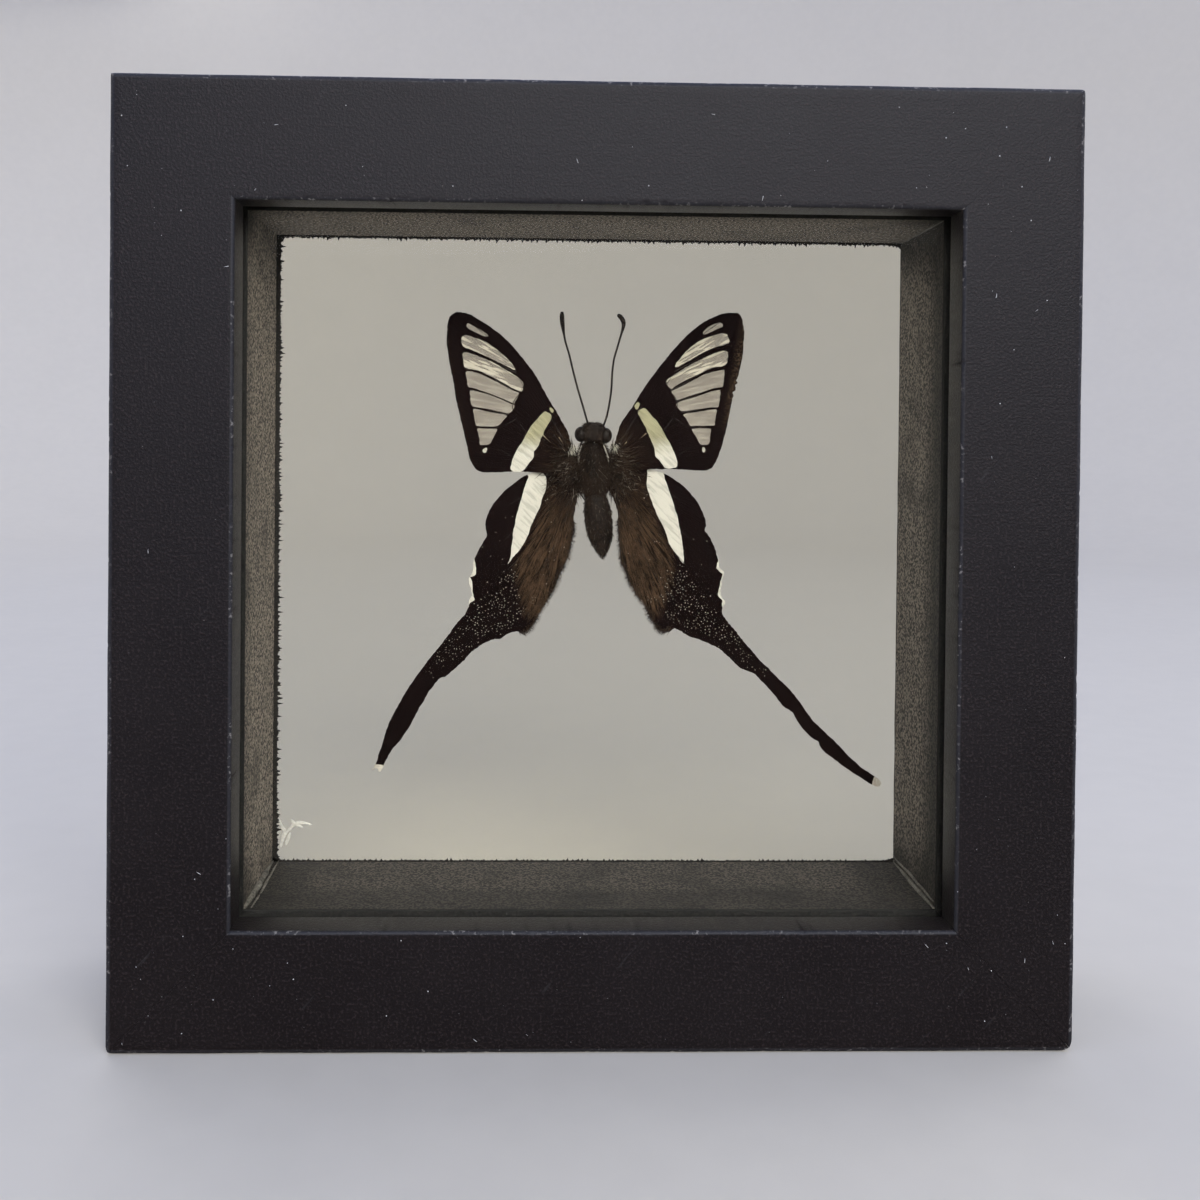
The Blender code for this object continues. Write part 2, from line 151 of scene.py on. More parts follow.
HINDWING = {
    "left": path(
        -2.0, 11.2, -4.5, 12.0, -6.8, 12.3, -9.2, 11.7, -10.2, 11.2, -11.5, 10.2, -12.7, 9.2, -13.7, 8.1,
        -14.6, 6.9, -15.2, 5.7, -15.5, 4.6, -15.5, 3.8, -15.3, 2.5, -15.8, 1.6, -16.4, 0.6, -16.8, -0.3,
        -17.3, -1.4, -17.25, -2.4, -17.5, -3.2, -17.9, -3.9, -17.8, -4.7, -17.5, -5.6, -17.45, -6.4,
        -17.8, -7.2, -18.0, -8.2, -18.5, -9.3, -19.5, -10.4, -20.3, -11.5, -21.3, -12.9, -22.2, -14.1,
        -23.2, -15.3, -24.2, -16.6, -25.2, -18.0, -26.1, -19.3, -26.9, -20.5, -27.6, -21.7, -28.3, -23.0,
        -28.9, -24.1, -29.5, -25.3, -29.9, -26.4, -30.3, -27.6, -30.6, -28.8, -31.0, -29.9, -31.3, -31.0,
        -31.7, -32.0, -32.1, -32.6, -31.4, -32.25, -30.9, -32.8, -30.5, -32.3, -30.1, -31.3, -29.3, -29.8,
        -28.8, -29.1, -28.0, -28.3, -27.4, -27.3, -26.7, -26.3, -26.1, -25.2, -25.2, -23.4, -24.6, -22.5,
        -23.8, -20.9, -23.1, -20.0, -22.5, -19.2, -22.0, -18.75, -21.2, -18.5, -20.4, -17.8, -19.5, -17.0,
        -18.5, -16.1, -17.6, -15.0, -16.5, -14.2, -15.7, -13.6, -14.1, -12.95, -13.2, -12.9, -12.5, -12.4,
        -11.8, -12.0, -10.6, -11.8, -9.9, -12.0, -9.4, -11.8, -8.7, -11.2, -8.1, -10.3, -7.6, -9.3,
        -7.0, -8.1, -6.4, -7.2, -5.7, -6.1, -5.1, -4.9, -4.7, -3.8, -4.2, -2.6, -3.7, -1.5, -3.3, -0.6,
        -3.0, 0.5, -2.8, 1.5, -2.6, 2.5, -2.3, 3.6, -2.4, 5.2, -2.2, 6.4, -2.0, 7.3, -1.8, 8.4, -1.5, 10.0,
    ),
    "right": path(
        3.0, 11.2, 5.6, 12.1, 8.4, 12.7, 11.2, 12.0, 11.9, 11.6, 13.0, 10.9, 14.3, 9.9, 15.5, 8.6, 16.4, 7.4,
        17.0, 6.1, 17.4, 5.0, 17.5, 4.2, 17.3, 3.5, 17.9, 2.8, 18.4, 1.9, 18.9, 0.8, 19.1, 0.1, 19.5, -1.0,
        19.5, -1.9, 20.25, -2.75, 20.1, -3.3, 19.9, -4.2, 19.8, -5.2, 19.8, -6.1, 20.45, -7.2, 20.2, -7.8,
        20.0, -8.7, 20.3, -9.3, 21.2, -10.5, 22.4, -11.9, 23.3, -13.0, 24.7, -14.6, 25.8, -15.9, 27.15, -17.1,
        28.1, -18.1, 30.4, -20.3, 32.0, -22.3, 33.2, -24.0, 34.0, -25.0, 35.9, -26.8, 37.6, -28.4,
        38.5, -29.3, 39.3, -30.2, 40.1, -30.9, 41.2, -31.9, 42.3, -32.6, 43.2, -33.2, 44.0, -33.8,
        44.4, -34.3, 44.0, -34.8, 43.4, -34.7, 42.3, -34.2, 41.1, -33.4, 39.9, -32.7, 38.5, -31.7,
        37.0, -30.6, 35.8, -29.7, 35.1, -28.9, 34.8, -28.1, 34.2, -27.8, 33.6, -27.4, 32.8, -26.6,
        32.0, -25.6, 31.3, -24.6, 31.0, -23.9, 30.2, -23.3, 29.2, -22.6, 28.4, -21.5, 27.6, -20.6,
        26.8, -19.7, 26.0, -18.9, 25.1, -18.0, 24.2, -17.6, 23.1, -17.2, 22.5, -16.8, 21.5, -15.8,
        20.5, -14.9, 19.5, -14.1, 18.5, -13.6, 17.3, -13.1, 16.2, -12.7, 15.2, -12.4, 14.5, -12.0,
        13.7, -11.5, 13.0, -11.2, 12.2, -11.5, 11.4, -11.7, 10.7, -11.5, 10.2, -11.0, 9.6, -10.0, 9.1, -9.1,
        8.7, -8.2, 8.1, -7.1, 7.3, -6.2, 6.6, -5.1, 6.0, -4.0, 5.6, -2.9, 5.2, -1.9, 4.8, -0.8, 4.7, 0.6,
        4.5, 2.0, 4.4, 3.5, 4.3, 5.0, 4.2, 6.3, 3.8, 7.5, 3.3, 8.6, 2.6, 10.0,
    ),
}

# The clear windows of each forewing, from the tip down. The second and third are creased.
WINDOWS = {
    "left": [
        path(
            -18.6, 33.7, -18.3, 34.0, -17.4, 33.6, -16.3, 33.0, -15.6, 32.5, -15.35, 32.1, -16.0, 32.15,
            -17.2, 32.7, -18.2, 33.2,
        ),
        path(
            -19.3, 31.5, -19.1, 32.1, -18.5, 32.3, -17.3, 31.9, -15.8, 31.4, -14.6, 30.6, -13.3, 29.6,
            -12.3, 28.7, -11.7, 28.0, -11.3, 27.2, -12.6, 27.75, -14.4, 28.6, -16.2, 29.45, -18.0, 30.2,
            -19.0, 30.6,
        ),
        path(
            -19.1, 29.5, -18.5, 29.75, -16.5, 29.1, -14.4, 28.2, -12.5, 27.1, -11.0, 26.2, -10.2, 25.5,
            -10.0, 25.0, -10.1, 24.5, -10.4, 23.95, -11.5, 24.45, -13.0, 25.25, -15.0, 26.25, -17.0, 27.1,
            -18.7, 27.4, -18.95, 28.4,
        ),
        path(
            -18.5, 26.9, -16.9, 26.7, -15.2, 26.0, -13.0, 24.9, -11.5, 24.1, -10.7, 23.8, -10.8, 23.4,
            -11.2, 22.6, -11.4, 22.2, -12.3, 22.55, -14.2, 23.35, -16.0, 23.95, -17.5, 24.45, -18.2, 24.6,
            -18.4, 25.5,
        ),
        path(
            -17.95, 24.1, -17.0, 24.0, -15.5, 23.6, -13.8, 23.0, -12.2, 22.3, -11.4, 22.0, -11.4, 21.6,
            -11.8, 21.0, -12.3, 20.75, -13.8, 21.05, -15.5, 21.4, -17.3, 21.7, -17.8, 22.1, -17.9, 23.0,
        ),
        path(
            -17.45, 21.3, -16.3, 21.2, -14.7, 20.9, -13.0, 20.6, -12.45, 20.35, -12.8, 19.9, -13.5, 19.1,
            -13.9, 18.8, -15.5, 18.75, -16.9, 18.85, -17.1, 19.1, -17.3, 20.2,
        ),
        path(
            -16.8, 18.45, -15.5, 18.45, -14.0, 18.45, -13.9, 18.2, -14.2, 17.6, -14.5, 17.0, -14.9, 16.2,
            -15.2, 16.05, -16.4, 16.1, -16.5, 16.9, -16.7, 17.8,
        ),
    ],
    "right": [
        path(
            16.6, 32.8, 16.6, 33.1, 17.3, 33.8, 18.3, 34.4, 19.2, 34.55, 19.6, 34.4, 19.5, 34.0, 19.0, 33.75,
            17.7, 33.1, 16.9, 32.8,
        ),
        path(
            12.5, 28.0, 12.7, 28.5, 13.3, 29.2, 14.0, 30.1, 15.2, 31.2, 16.5, 32.0, 18.0, 32.6, 19.3, 33.0,
            20.1, 32.9, 20.4, 32.5, 20.6, 31.7, 19.9, 31.3, 18.5, 30.9, 17.0, 30.3, 15.0, 29.1, 13.3, 28.1,
            12.7, 27.85,
        ),
        path(
            11.2, 25.7, 11.7, 26.3, 12.6, 26.9, 14.0, 27.8, 15.6, 28.7, 17.2, 29.5, 18.9, 30.2, 19.9, 30.4,
            20.3, 30.3, 20.4, 29.8, 20.3, 28.9, 20.2, 28.5, 19.5, 28.1, 18.3, 27.9, 17.0, 27.35, 15.0, 26.4,
            13.2, 25.45, 12.0, 24.7, 11.5, 25.0,
        ),
        path(
            12.0, 24.2, 12.4, 24.5, 13.8, 25.2, 15.3, 26.0, 17.0, 26.9, 18.4, 27.3, 19.8, 27.6, 19.9, 27.3,
            19.85, 26.2, 19.7, 25.2, 19.5, 25.0, 18.3, 24.8, 16.7, 24.25, 14.7, 23.6, 13.0, 23.0, 12.7, 22.95,
            12.4, 23.5,
        ),
        path(
            12.75, 22.4, 13.5, 22.85, 15.0, 23.3, 16.5, 23.8, 18.0, 24.35, 19.2, 24.6, 19.35, 24.2,
            19.2, 23.0, 19.0, 22.05, 18.0, 21.95, 16.5, 21.75, 15.0, 21.5, 13.6, 21.35, 13.0, 21.8,
        ),
        path(
            13.8, 20.8, 14.2, 21.0, 15.5, 21.2, 17.0, 21.45, 18.3, 21.65, 18.8, 21.6, 18.8, 21.2, 18.6, 20.0,
            18.5, 19.3, 17.5, 19.2, 16.0, 19.2, 14.9, 19.2, 14.5, 19.8, 14.1, 20.4,
        ),
        path(
            15.1, 18.6, 15.6, 18.8, 16.5, 18.85, 17.9, 18.8, 18.0, 18.5, 17.85, 17.5, 17.8, 16.7, 17.4, 16.4,
            16.5, 16.4, 16.2, 16.7, 15.8, 17.5,
        ),
    ],
}
CREASED_WINDOWS = (1, 2)

PALE_MARKS = {
    "left": [
        path(-16.0, 15.3, -15.9, 14.9, -15.6, 14.9, -15.3, 15.4, -15.4, 15.6, -15.8, 15.5),
        path(-6.1, 21.6, -5.9, 21.7, -5.5, 21.2, -5.7, 20.9, -6.0, 21.1),
    ],
    "right": [
        path(16.75, 15.95, 17.1, 15.9, 17.15, 15.5, 16.95, 15.2, 16.7, 15.6),
        path(6.5, 22.1, 7.0, 22.6, 7.3, 22.3, 7.1, 21.9, 6.9, 21.5, 6.6, 21.7),
    ],
}
FOREWING_BAND = {
    "left": path(
        -6.9, 21.05, -6.3, 20.9, -5.9, 20.6, -5.85, 20.2, -6.2, 19.4, -6.9, 18.2, -7.1, 17.6, -7.4, 17.0,
        -7.6, 16.3, -8.0, 15.6, -8.4, 15.1, -8.4, 14.4, -8.6, 14.0, -9.1, 13.4, -9.5, 12.8, -10.1, 12.2,
        -10.8, 12.0, -11.6, 12.2, -11.9, 12.8, -11.7, 13.1, -11.6, 13.8, -11.3, 14.6, -10.8, 15.6,
        -10.2, 16.4, -9.7, 17.4, -9.2, 18.3, -8.8, 19.0, -8.0, 19.9, -7.4, 20.6,
    ),
    "right": path(
        8.1, 21.7, 7.5, 21.6, 7.1, 21.3, 7.1, 20.8, 7.7, 19.8, 8.3, 18.6, 8.8, 17.4, 9.3, 16.4, 9.6, 15.4,
        9.7, 14.6, 10.3, 14.0, 10.8, 13.3, 11.3, 12.8, 12.2, 12.8, 12.8, 13.0, 13.0, 13.5, 12.8, 14.4,
        12.3, 15.6, 11.8, 16.6, 11.2, 17.6, 10.6, 18.7, 9.9, 19.8, 9.0, 20.7,
    ),
}
HINDWING_BAND = {
    "left": path(
        -9.3, 12.0, -7.3, 12.05, -6.7, 11.6, -6.5, 11.0, -6.5, 9.8, -6.7, 9.0, -7.1, 8.2, -7.4, 6.9,
        -8.1, 5.4, -8.8, 3.8, -9.1, 2.8, -9.9, 1.2, -10.5, 0.3, -11.3, -0.6, -11.8, -1.3, -12.1, -1.7,
        -11.7, -0.5, -11.6, 1.0, -11.4, 2.2, -11.4, 3.0, -11.1, 4.3, -11.0, 5.2, -10.7, 6.2, -10.4, 7.4,
        -10.0, 8.8, -9.6, 10.2, -9.2, 11.3,
    ),
    "right": path(
        8.7, 12.6, 10.2, 12.6, 11.0, 12.1, 11.2, 11.2, 11.6, 10.3, 12.0, 9.1, 12.5, 7.8, 12.8, 6.6, 13.2, 5.6,
        13.4, 4.3, 13.7, 3.0, 13.9, 1.8, 14.1, 0.5, 14.2, -0.8, 14.15, -1.4, 13.6, -0.8, 13.0, 0.1, 12.2, 1.1,
        11.8, 2.0, 11.6, 2.8, 11.3, 3.5, 10.9, 4.4, 10.3, 5.4, 9.8, 6.6, 9.2, 8.1, 8.7, 9.5, 8.5, 10.5,
        8.6, 11.6,
    ),
}
FRINGE = {
    "left": path(
        -16.6, -0.2, -17.0, -0.4, -17.9, -1.4, -18.4, -3.2, -18.6, -5.0, -18.4, -7.0, -18.4, -8.4,
        -17.95, -8.2, -17.88, -7.8, -17.66, -7.5, -17.06, -7.1, -17.16, -6.6, -17.36, -5.6, -17.36, -4.9,
        -17.46, -4.2, -17.76, -3.7, -17.31, -3.6, -16.91, -3.3, -16.86, -2.6, -16.98, -1.6, -17.13, -0.7,
    ),
    "right": path(
        19.0, 0.1, 19.5, -0.1, 20.2, -1.4, 20.9, -3.0, 20.6, -5.2, 21.0, -7.2, 20.7, -8.9, 20.38, -8.6,
        19.98, -7.6, 20.03, -6.9, 19.38, -6.2, 19.48, -5.5, 19.68, -4.5, 19.88, -3.6, 20.03, -3.0,
        19.18, -2.2, 19.18, -1.6, 19.38, -0.8,
    ),
}
TAIL_TIP = {
    "left": path(-31.2, -31.7, -33.0, -31.7, -33.0, -33.5, -30.0, -33.5, -30.0, -32.1),
    "right": path(43.6, -33.0, 45.5, -33.0, 45.5, -35.5, 42.9, -35.5, 43.1, -34.0),
}

# Where the inner part of each hindwing is brown and hairy, and where it is dusted with white.
BROWN = {
    "left": path(
        -6.3, 11.8, -1.0, 11.5, -1.0, 7.5, -1.6, 3.0, -2.4, -0.8, -4.2, -5.0, -6.6, -9.2, -9.4, -9.8,
        -10.8, -5.0, -11.2, -1.4, -8.8, 3.2, -7.0, 8.5,
    ),
    "right": path(
        8.2, 12.0, 2.4, 11.5, 2.6, 7.5, 3.4, 3.0, 3.9, -0.8, 5.2, -4.2, 7.6, -8.4, 10.4, -9.6, 12.2, -5.2,
        12.8, -0.6, 10.9, 3.6, 9.0, 8.5,
    ),
}
DUSTED = {
    "left": path(
        -12.0, -1.7, -16.5, -7.2, -17.8, -8.6, -20.0, -11.3, -23.0, -15.3, -25.4, -18.9, -24.6, -19.8,
        -22.0, -18.0, -19.0, -15.9, -16.0, -13.4, -13.0, -12.3, -10.6, -11.2, -10.2, -8.0, -10.4, -4.5,
        -11.0, -2.5,
    ),
    "right": path(
        14.0, -1.5, 17.6, -6.6, 19.6, -8.8, 22.6, -12.4, 27.4, -17.8, 26.2, -18.4, 22.0, -15.8, 18.0, -13.0,
        14.5, -11.5, 12.2, -10.4, 11.0, -9.0, 10.6, -5.5, 12.0, -3.0,
    ),
}

WING_ROOTS = {"left": (-1.4, 13.0), "right": (2.3, 13.0)}

# Where the veins between the windows would meet.
WINDOW_FANS = {"left": (4.0, 19.8), "right": (-2.5, 20.0)}
VEINS = {
    "left": [
        path(-2.4, 14.6, -4.6, 17.9, -7.2, 22.3, -10.2, 26.8, -13.4, 30.4, -18.6, 34.6),
        path(-2.4, 14.2, -5.0, 17.0, -7.6, 21.4, -10.0, 24.8, -11.1, 26.7),
        path(-2.4, 13.8, -4.6, 15.2, -7.1, 17.6),
        path(-9.6, 18.0, -11.2, 20.2, -11.6, 22.1, -10.5, 23.9, -9.9, 25.2),
        path(-11.1, 26.7, -14.4, 28.4, -17.0, 29.55, -20.6, 30.4),
        path(-10.5, 23.9, -13.0, 25.08, -15.1, 26.15, -17.0, 26.9, -20.3, 27.3),
        path(-11.4, 22.1, -14.0, 23.2, -16.6, 24.0, -19.9, 24.4),
        path(-12.3, 20.55, -15.5, 21.25, -17.5, 21.5, -19.3, 21.7),
        path(-11.2, 19.8, -13.9, 18.62, -17.1, 18.65, -18.7, 18.6),
        path(-2.2, 12.8, -5.5, 13.2, -8.5, 14.3),
        path(-11.8, 14.4, -14.4, 15.7, -17.9, 15.6),
    ],
    "right": [
        path(3.1, 14.6, 5.4, 18.2, 8.0, 22.6, 11.2, 27.3, 14.6, 31.2, 19.6, 35.0),
        path(3.1, 14.2, 5.8, 17.3, 8.6, 21.9, 11.2, 25.2, 12.4, 27.2),
        path(3.1, 13.8, 6.2, 16.2, 8.3, 18.0),
        path(10.9, 18.4, 12.5, 20.8, 12.9, 22.7, 11.8, 24.4, 11.1, 25.5),
        path(12.4, 27.2, 15.4, 28.9, 17.4, 29.95, 20.6, 31.1, 22.3, 31.3),
        path(11.8, 24.4, 14.0, 25.55, 16.8, 27.15, 18.4, 27.6, 21.9, 28.0),
        path(12.6, 22.7, 14.8, 23.45, 17.0, 24.15, 21.0, 25.0),
        path(13.4, 21.1, 15.4, 21.4, 17.0, 21.65, 20.5, 21.9),
        path(12.6, 20.2, 14.8, 18.95, 17.2, 19.05, 20.0, 19.0),
        path(2.9, 12.9, 6.6, 13.4, 9.6, 14.7),
        path(13.0, 14.7, 15.6, 16.1, 19.2, 15.9),
    ],
}
RUBBED_VEINS = {
    "left": [
        path(-7.1, 17.6, -5.8, 16.3, -4.6, 15.2),
        path(-4.7, 17.3, -3.9, 16.0, -3.2, 14.8),
    ],
    "right": [
        path(8.3, 18.0, 7.2, 17.0, 6.2, 16.2),
        path(5.4, 16.7, 4.8, 15.8, 4.3, 15.0),
    ],
}
HIND_VEINS = {
    "left": [
        path(-2.4, 10.4, -5.6, 10.6, -6.4, 10.2),
        path(-10.3, 8.2, -12.8, 6.6, -15.0, 4.4),
        path(-2.4, 9.9, -4.8, 8.0, -7.2, 6.0),
        path(-11.3, 3.2, -13.4, 1.2, -16.4, -1.6),
        path(-2.3, 9.2, -4.2, 5.6, -7.4, 0.4, -11.6, -5.0, -16.8, -9.0),
        path(
            -2.2, 8.8, -3.8, 4.4, -6.6, -1.6, -11.0, -7.6, -17.2, -12.0, -23.4, -18.4, -27.8, -24.8,
            -30.6, -30.8,
        ),
        path(-2.1, 8.2, -3.4, 2.8, -5.6, -2.8, -8.2, -7.6, -9.8, -11.2),
        path(-10.6, -1.0, -13.4, -3.6, -16.9, -6.0),
    ],
    "right": [
        path(3.4, 10.6, 7.6, 11.2, 8.4, 10.8),
        path(12.3, 8.8, 14.8, 7.2, 17.0, 4.8),
        path(3.5, 10.2, 6.4, 8.6, 9.2, 6.6),
        path(13.7, 3.4, 15.8, 1.6, 18.6, -1.2),
        path(3.7, 9.4, 6.2, 6.0, 9.6, 1.0, 13.6, -4.4, 19.4, -9.0),
        path(3.8, 9.0, 5.8, 4.8, 8.6, -1.2, 13.0, -7.0, 18.8, -11.4, 26.2, -18.0, 34.0, -26.2, 43.4, -34.0),
        path(4.0, 8.0, 5.2, 3.2, 7.4, -2.4, 9.8, -7.2, 11.2, -10.8),
        path(13.2, -0.2, 15.8, -3.0, 19.0, -5.6),
    ],
}

# Half widths are pairs: how far down the piece, and its half width there.
HEAD_TOP = (0.42, 19.5)
HEAD_HALF_WIDTHS = [
    (0.0, 0.0), (0.08, 0.9), (0.35, 1.5), (1.0, 1.8), (1.8, 1.85), (2.5, 1.7), (2.8, 1.2), (2.85, 0.0),
]
THORAX_TOP = (0.45, 16.5)
THORAX_HALF_WIDTHS = [
    (0.0, 0.0), (0.15, 1.1), (0.9, 1.85), (2.6, 2.3), (4.6, 2.3), (6.4, 1.95), (7.4, 1.4), (7.7, 0.0),
]
ABDOMEN_TOP = (0.85, 9.0)
ABDOMEN_TIP = (2.0, -0.6)
ABDOMEN_HALF_WIDTHS = [
    (0.0, 0.0), (0.2, 1.2), (1.2, 1.7), (3.6, 2.0), (6.2, 1.8), (8.0, 1.15), (9.3, 0.4), (9.65, 0.0),
]
ANTENNAE = {
    "left": path(
        -0.4, 19.3, -1.2, 22.0, -2.0, 24.6, -2.8, 27.6, -3.3, 29.6, -3.9, 31.6, -4.2, 33.2, -4.35, 34.3,
        -4.42, 35.1, -4.4, 35.9,
    ),
    "right": path(
        1.9, 19.0, 2.4, 20.5, 2.8, 22.6, 3.05, 24.7, 3.15, 27.0, 3.4, 29.0, 3.9, 30.8, 4.4, 32.6, 4.75, 33.9,
        4.7, 34.6, 4.35, 35.2, 3.85, 35.6,
    ),
}


# ---- node trees

class Wire:
    """A node's output. Arithmetic on it adds the Math nodes that work it out."""

    def __init__(self, builder, socket):
        self.builder = builder
        self.socket = socket

    def maths(self, operation, first, second):
        """One Math node on two values or wires."""
        return self.builder.node("ShaderNodeMath", {"operation": operation}, {0: first, 1: second})

    def __add__(self, other):
        return self.maths("ADD", self, other)

    def __radd__(self, other):
        return self.maths("ADD", other, self)

    def __sub__(self, other):
        return self.maths("SUBTRACT", self, other)

    def __rsub__(self, other):
        return self.maths("SUBTRACT", other, self)

    def __mul__(self, other):
        return self.maths("MULTIPLY", self, other)

    def __rmul__(self, other):
        return self.maths("MULTIPLY", other, self)


class Builder:
    """Puts a node tree together one node at a time."""

    def __init__(self, tree):
        self.tree = tree

    def node(self, kind, settings=None, inputs=None, output=0):
        """Add a node of this kind: its settings first, then its sockets' values or links."""
        added = self.tree.nodes.new(kind)
        for name, value in (settings or {}).items():
            setattr(added, name, value)
        for key, value in (inputs or {}).items():
            socket = added.inputs[key]
            if isinstance(value, Wire):
                self.tree.links.new(value.socket, socket)
            elif socket.type == "RGBA":
                socket.default_value = (*value, 1.0)
            else:
                socket.default_value = value
        return Wire(self, added.outputs[output])

    def mask(self, value, low, high):
        """A smooth step from 0 at low to 1 at high."""
        inputs = {"Value": value, "From Min": low, "From Max": high}
        return self.node("ShaderNodeMapRange", {"interpolation_type": "SMOOTHSTEP"}, inputs)

    def mix(self, factor, first, second):
        """One colour turning into another."""
        return self.node("ShaderNodeMix", {"data_type": "RGBA"}, {0: factor, 6: first, 7: second}, 2)


class Finish(Builder):
    """A material's node tree, with the few nodes that its finishes share."""

    def __init__(self, name):
        self.material = bpy.data.materials.new(name)
        self.material.use_nodes = True
        super().__init__(self.material.node_tree)
        self.tree.nodes.clear()
        self.place = self.node("ShaderNodeTexCoord", output="Object")

    def noise(self, grain, detail=2.0, place=None, distortion=0.0):
        """Noise whose grain is a size in millimetres, from 0 to 1."""
        inputs = {"Vector": place or self.place, "Scale": 1 / (grain * MM), "Detail": detail,
                  "Distortion": distortion}
        return self.node("ShaderNodeTexNoise", None, inputs)

    def stretched(self, stretch, turn=(0, 0, 0)):
        """The object's coordinates, turned and then squeezed along each axis."""
        inputs = {"Vector": self.place, "Rotation": turn, "Scale": stretch}
        return self.node("ShaderNodeMapping", {"vector_type": "TEXTURE"}, inputs)

    def row_streaks(self, stretch, detail, distortion=0.0):
        """Streaks along the rows of scales, from the piece's own map."""
        rows = self.node("ShaderNodeUVMap", {"uv_map": "rows"})
        lined = self.node("ShaderNodeMapping", {"vector_type": "POINT"}, {"Vector": rows, "Scale": stretch})
        inputs = {"Vector": lined, "Scale": 1.0, "Detail": detail, "Distortion": distortion}
        return self.node("ShaderNodeTexNoise", None, inputs)

    def attribute(self, name):
        """A painted value of the mesh."""
        return self.node("ShaderNodeAttribute", {"attribute_name": name}, output="Fac")

    def surface(self, colour, rough, shine=0.5, height=None, distance=0.0, more=None):
        """The material's surface: its colour, roughness and shine, and bumps so many millimetres high."""
        values = {"Base Color": colour, "Roughness": rough, "Specular IOR Level": shine, **(more or {})}
        if height is not None:
            inputs = {"Height": height, "Distance": distance * MM}
            values["Normal"] = self.node("ShaderNodeBump", None, inputs)
        shader = self.node("ShaderNodeBsdfPrincipled", None, values)
        output = self.tree.nodes.new("ShaderNodeOutputMaterial")
        self.tree.links.new(shader.socket, output.inputs["Surface"])
        return self.material


class Recipe(Builder):
    """A Geometry Nodes tree with named inputs, and a way to run it on a mesh or a curve."""

    def __init__(self, name):
        super().__init__(bpy.data.node_groups.new(name, "GeometryNodeTree"))
        self.tree.interface.new_socket("Geometry", in_out="INPUT", socket_type="NodeSocketGeometry")
        self.tree.interface.new_socket("Geometry", in_out="OUTPUT", socket_type="NodeSocketGeometry")
        self.given = self.tree.nodes.new("NodeGroupInput")
        self.names = {}

    def input(self, name, kind, value=None):
        """A named input of the tree, as a wire."""
        item = self.tree.interface.new_socket(name, in_out="INPUT", socket_type=f"NodeSocket{kind}")
        if value is not None:
            item.default_value = value
        self.names[name] = item.identifier
        return Wire(self, self.given.outputs[name])

    def geometry(self):
        """The geometry that the tree is run on."""
        return Wire(self, self.given.outputs["Geometry"])

    def chance(self, low, high, seed):
        """A random number between two values for each point."""
        return self.node("FunctionNodeRandomValue", {"data_type": "FLOAT"}, {2: low, 3: high, 8: seed}, 1)

    def end(self, geometry, material):
        """Close the tree: real meshes, in this material."""
        real = self.node("GeometryNodeRealizeInstances", None, {"Geometry": geometry})
        painted = self.node("GeometryNodeSetMaterial", None, {"Geometry": real, "Material": material})
        out = self.tree.nodes.new("NodeGroupOutput")
        self.tree.links.new(painted.socket, out.inputs["Geometry"])

    def run(self, data, values):
        """The plain mesh that the tree makes of this data with these input values."""
        bed = link("bed", data)
        modifier = bed.modifiers.new("recipe", "NODES")
        modifier.node_group = self.tree
        for name, value in values.items():
            modifier[self.names[name]] = value
        evaluated = bed.evaluated_get(bpy.context.evaluated_depsgraph_get())
        made = bpy.data.meshes.new_from_object(evaluated)
        bpy.data.objects.remove(bed)
        made.materials.clear()
        made.materials.append(values["Material"])
        made.polygons.foreach_set("material_index", [0] * len(made.polygons))
        return made


def tube_recipe():
    """A tube that follows a curve, with rings along it."""
    recipe = Recipe("ringed_tube")
    sides = recipe.input("Sides", "Int", 10)
    spacing = recipe.input("Spacing", "Float", 0.0001)
    pitch = recipe.input("Ring Pitch", "Float", 0.0003)
    depth = recipe.input("Ring Depth", "Float", 0.1)
    lumps = recipe.input("Lumps", "Float", 0.0)
    material = recipe.input("Material", "Material")
    even = recipe.node("GeometryNodeResampleCurve", {"mode": "LENGTH"},
                       {"Curve": recipe.geometry(), "Length": spacing})
    along = recipe.node("GeometryNodeSplineParameter", None, None, "Length")
    turns = recipe.node("ShaderNodeMath", {"operation": "DIVIDE"}, {0: along, 1: pitch})
    wave = recipe.node("ShaderNodeMath", {"operation": "SINE"}, {0: turns * (2 * pi)})
    lump = recipe.node("ShaderNodeTexNoise", None, {"Scale": 900.0, "Detail": 2.0}) - 0.5
    swell = 1.0 + wave * depth + lump * lumps
    radius = recipe.node("GeometryNodeInputRadius")
    circle = recipe.node("GeometryNodeCurvePrimitiveCircle", None, {"Resolution": sides, "Radius": 1.0})
    tube = recipe.node("GeometryNodeCurveToMesh", None,
                       {"Curve": even, "Profile Curve": circle, "Scale": radius * swell, "Fill Caps": True})
    smooth = recipe.node("GeometryNodeSetShadeSmooth", None, {"Geometry": tube})
    recipe.end(smooth, material)
    return recipe


